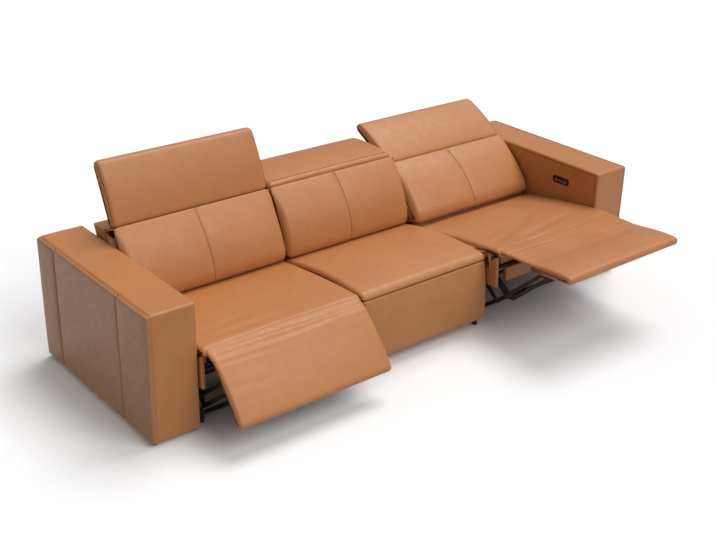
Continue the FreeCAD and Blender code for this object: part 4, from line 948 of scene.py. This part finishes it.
for number, seat in enumerate(SEATS):
    side = seat["side"]
    top = seat_top(
        side + "_seat_leather", OUTER_HALF, seat["seat"], side + "_seat",
        seed=11 + number, overhang=0.062, crown=0.018, edge_share=0.5, folds=SEAT_FOLDS[side], links=True,
    )
    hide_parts(side + "_seat_cushion")
    box_leather(seat)
    footrest(seat)
    bridge(seat)
    back_form(
        side + "_back_leather", OUTER_HALF - 0.0015, seat["back"], side + "_back", side + "_back_cushion",
        seed=21 + number, crown=0.032, edge_share=0.6, top=-0.002,
    )
    headrest_form(
        side + "_headrest_leather", OUTER_HALF - 0.0025, seat["headrest"], side + "_headrest",
        side + "_headrest_cushion", seed=31 + number, chin=0.018,
    )
    shell_leather(side + "_back_frame")

top = seat_top(
    "middle_seat_leather", MIDDLE_HALF, ROW, "sofa_base",
    seed=15, overhang=0.026, crown=0.032, edge_share=0.75,
)
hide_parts("middle_seat_cushion")
back_form(
    "middle_back_leather", MIDDLE_HALF - 0.0015, ROW, "sofa_base", "middle_back_cushion",
    seed=25, crown=0.040, edge_share=0.75, top=-0.003,
)
headrest_form(
    "middle_headrest_leather", MIDDLE_HALF - 0.0025, ROW, "middle_headrest", "middle_headrest_cushion",
    seed=35, chin=0.009,
)
shell_leather("middle_back_frame")
front_panel()
for side, sign in (("left", -1), ("right", 1)):
    arm_cover(side, sign)
    arm_panels(side, sign)
    arm_piping(side, sign)


# Finish of the CAD pieces that stay in sight

LEATHERED = ("back_frame", "middle_seat_frame")
SHARP_EDGED = ("black_steel", "motor_plastic", "control_black", "control_keys", "frame_board")
slots = {part["node"]: part["material_slot"] for part in frame["record"]["subparts"]}
for name, node in frame["nodes"].items():
    look = CAD_LOOKS[slots[name]]
    if name.endswith(LEATHERED):
        look = TAN
    # The seat boxes get the near-black painted shade in place of their board
    elif name.endswith("seat_box"):
        look = BOX_PAINTED_SHADE
    node.data.materials.clear()
    node.data.materials.append(look)
    if slots[name] in SHARP_EDGED and not name.endswith(LEATHERED):
        soft_edges(node, "edge", width=0.0008, segments=2, degrees=35)


# Floor, light and camera

floor_mesh = bpy.data.meshes.new("floor")
floor_mesh.from_pydata([(-14, -12, 0), (14, -12, 0), (14, 16, 0), (-14, 16, 0)], [], [(0, 1, 2, 3)])
floor = bpy.data.objects.new("floor", floor_mesh)
bpy.context.scene.collection.objects.link(floor)
floor_look, _, _, shader = new_material("pale_floor")
shader.inputs["Base Color"].default_value = (0.93, 0.93, 0.93, 1)
shader.inputs["Roughness"].default_value = 0.9
shader.inputs["Specular IOR Level"].default_value = 0.1
floor_mesh.materials.append(floor_look)
floor.visible_diffuse = False

# The camera sees a white world, also through glass, and the sofa is lit by a weaker sky
SKY_LIGHT, SKY_SEEN = 0.34, 1.0
world = bpy.data.worlds.new("studio")
bpy.context.scene.world = world
world.use_nodes = True
nodes, links = world.node_tree.nodes, world.node_tree.links
sky = nodes["Background"]
sky.inputs["Color"].default_value = (1, 1, 1, 1)
rays = nodes.new("ShaderNodeLightPath")
seen = nodes.new("ShaderNodeMath")
seen.operation = "MAXIMUM"
links.new(rays.outputs["Is Camera Ray"], seen.inputs[0])
links.new(rays.outputs["Is Transmission Ray"], seen.inputs[1])
level = ramp(nodes, ((0, SKY_LIGHT), (1, SKY_SEEN)))
links.new(seen.outputs["Value"], level.inputs["Value"])
links.new(level.outputs["Result"], sky.inputs["Strength"])


def sun(name, towards, strength, softness):
    """Even, soft light that comes from the direction towards; softness is the sun's width in degrees."""
    light = bpy.data.lights.new(name, "SUN")
    light.energy = strength
    light.angle = math.radians(softness)
    obj = bpy.data.objects.new(name, light)
    obj.rotation_euler = (-Vector(towards)).to_track_quat("-Z", "Y").to_euler()
    bpy.context.scene.collection.objects.link(obj)


sun("overhead", (0.42, 0.10, 0.89), strength=1.60, softness=34)
sun("front_high", (0.24, -0.74, 0.80), strength=1.40, softness=40)

# The photo's view: focal length and width in pixels, the camera's place in the row frame, and its turns
FOCAL_PIXELS = 1155.8
WIDTH_PIXELS = 716
CAMERA_PLACE = (-3.5149, -4.2819, 2.8545)
YAW_DEGREES, PITCH_DEGREES, ROLL_DEGREES = 39.52, 25.31, 1.26

camera_data = bpy.data.cameras.new("camera")
camera = bpy.data.objects.new("camera", camera_data)
bpy.context.scene.collection.objects.link(camera)
bpy.context.scene.camera = camera
camera_data.sensor_fit = "HORIZONTAL"
camera_data.sensor_width = 36
camera_data.lens = FOCAL_PIXELS / WIDTH_PIXELS * camera_data.sensor_width
camera_data.clip_end = 60
yaw, pitch, roll = (math.radians(a) for a in (YAW_DEGREES, PITCH_DEGREES, ROLL_DEGREES))
ahead = Vector((math.sin(yaw) * math.cos(pitch), math.cos(yaw) * math.cos(pitch), -math.sin(pitch)))
right = Vector((math.cos(yaw), -math.sin(yaw), 0))
up = right.cross(ahead)
rolled_right = right * math.cos(roll) + up * math.sin(roll)
rolled_up = up * math.cos(roll) - right * math.sin(roll)
turned = Matrix((rolled_right, rolled_up, -ahead)).transposed()
camera.matrix_world = ROW @ Matrix.Translation(CAMERA_PLACE) @ turned.to_4x4()

bpy.context.scene.view_settings.view_transform = "Standard"

bpy.context.view_layer.update()
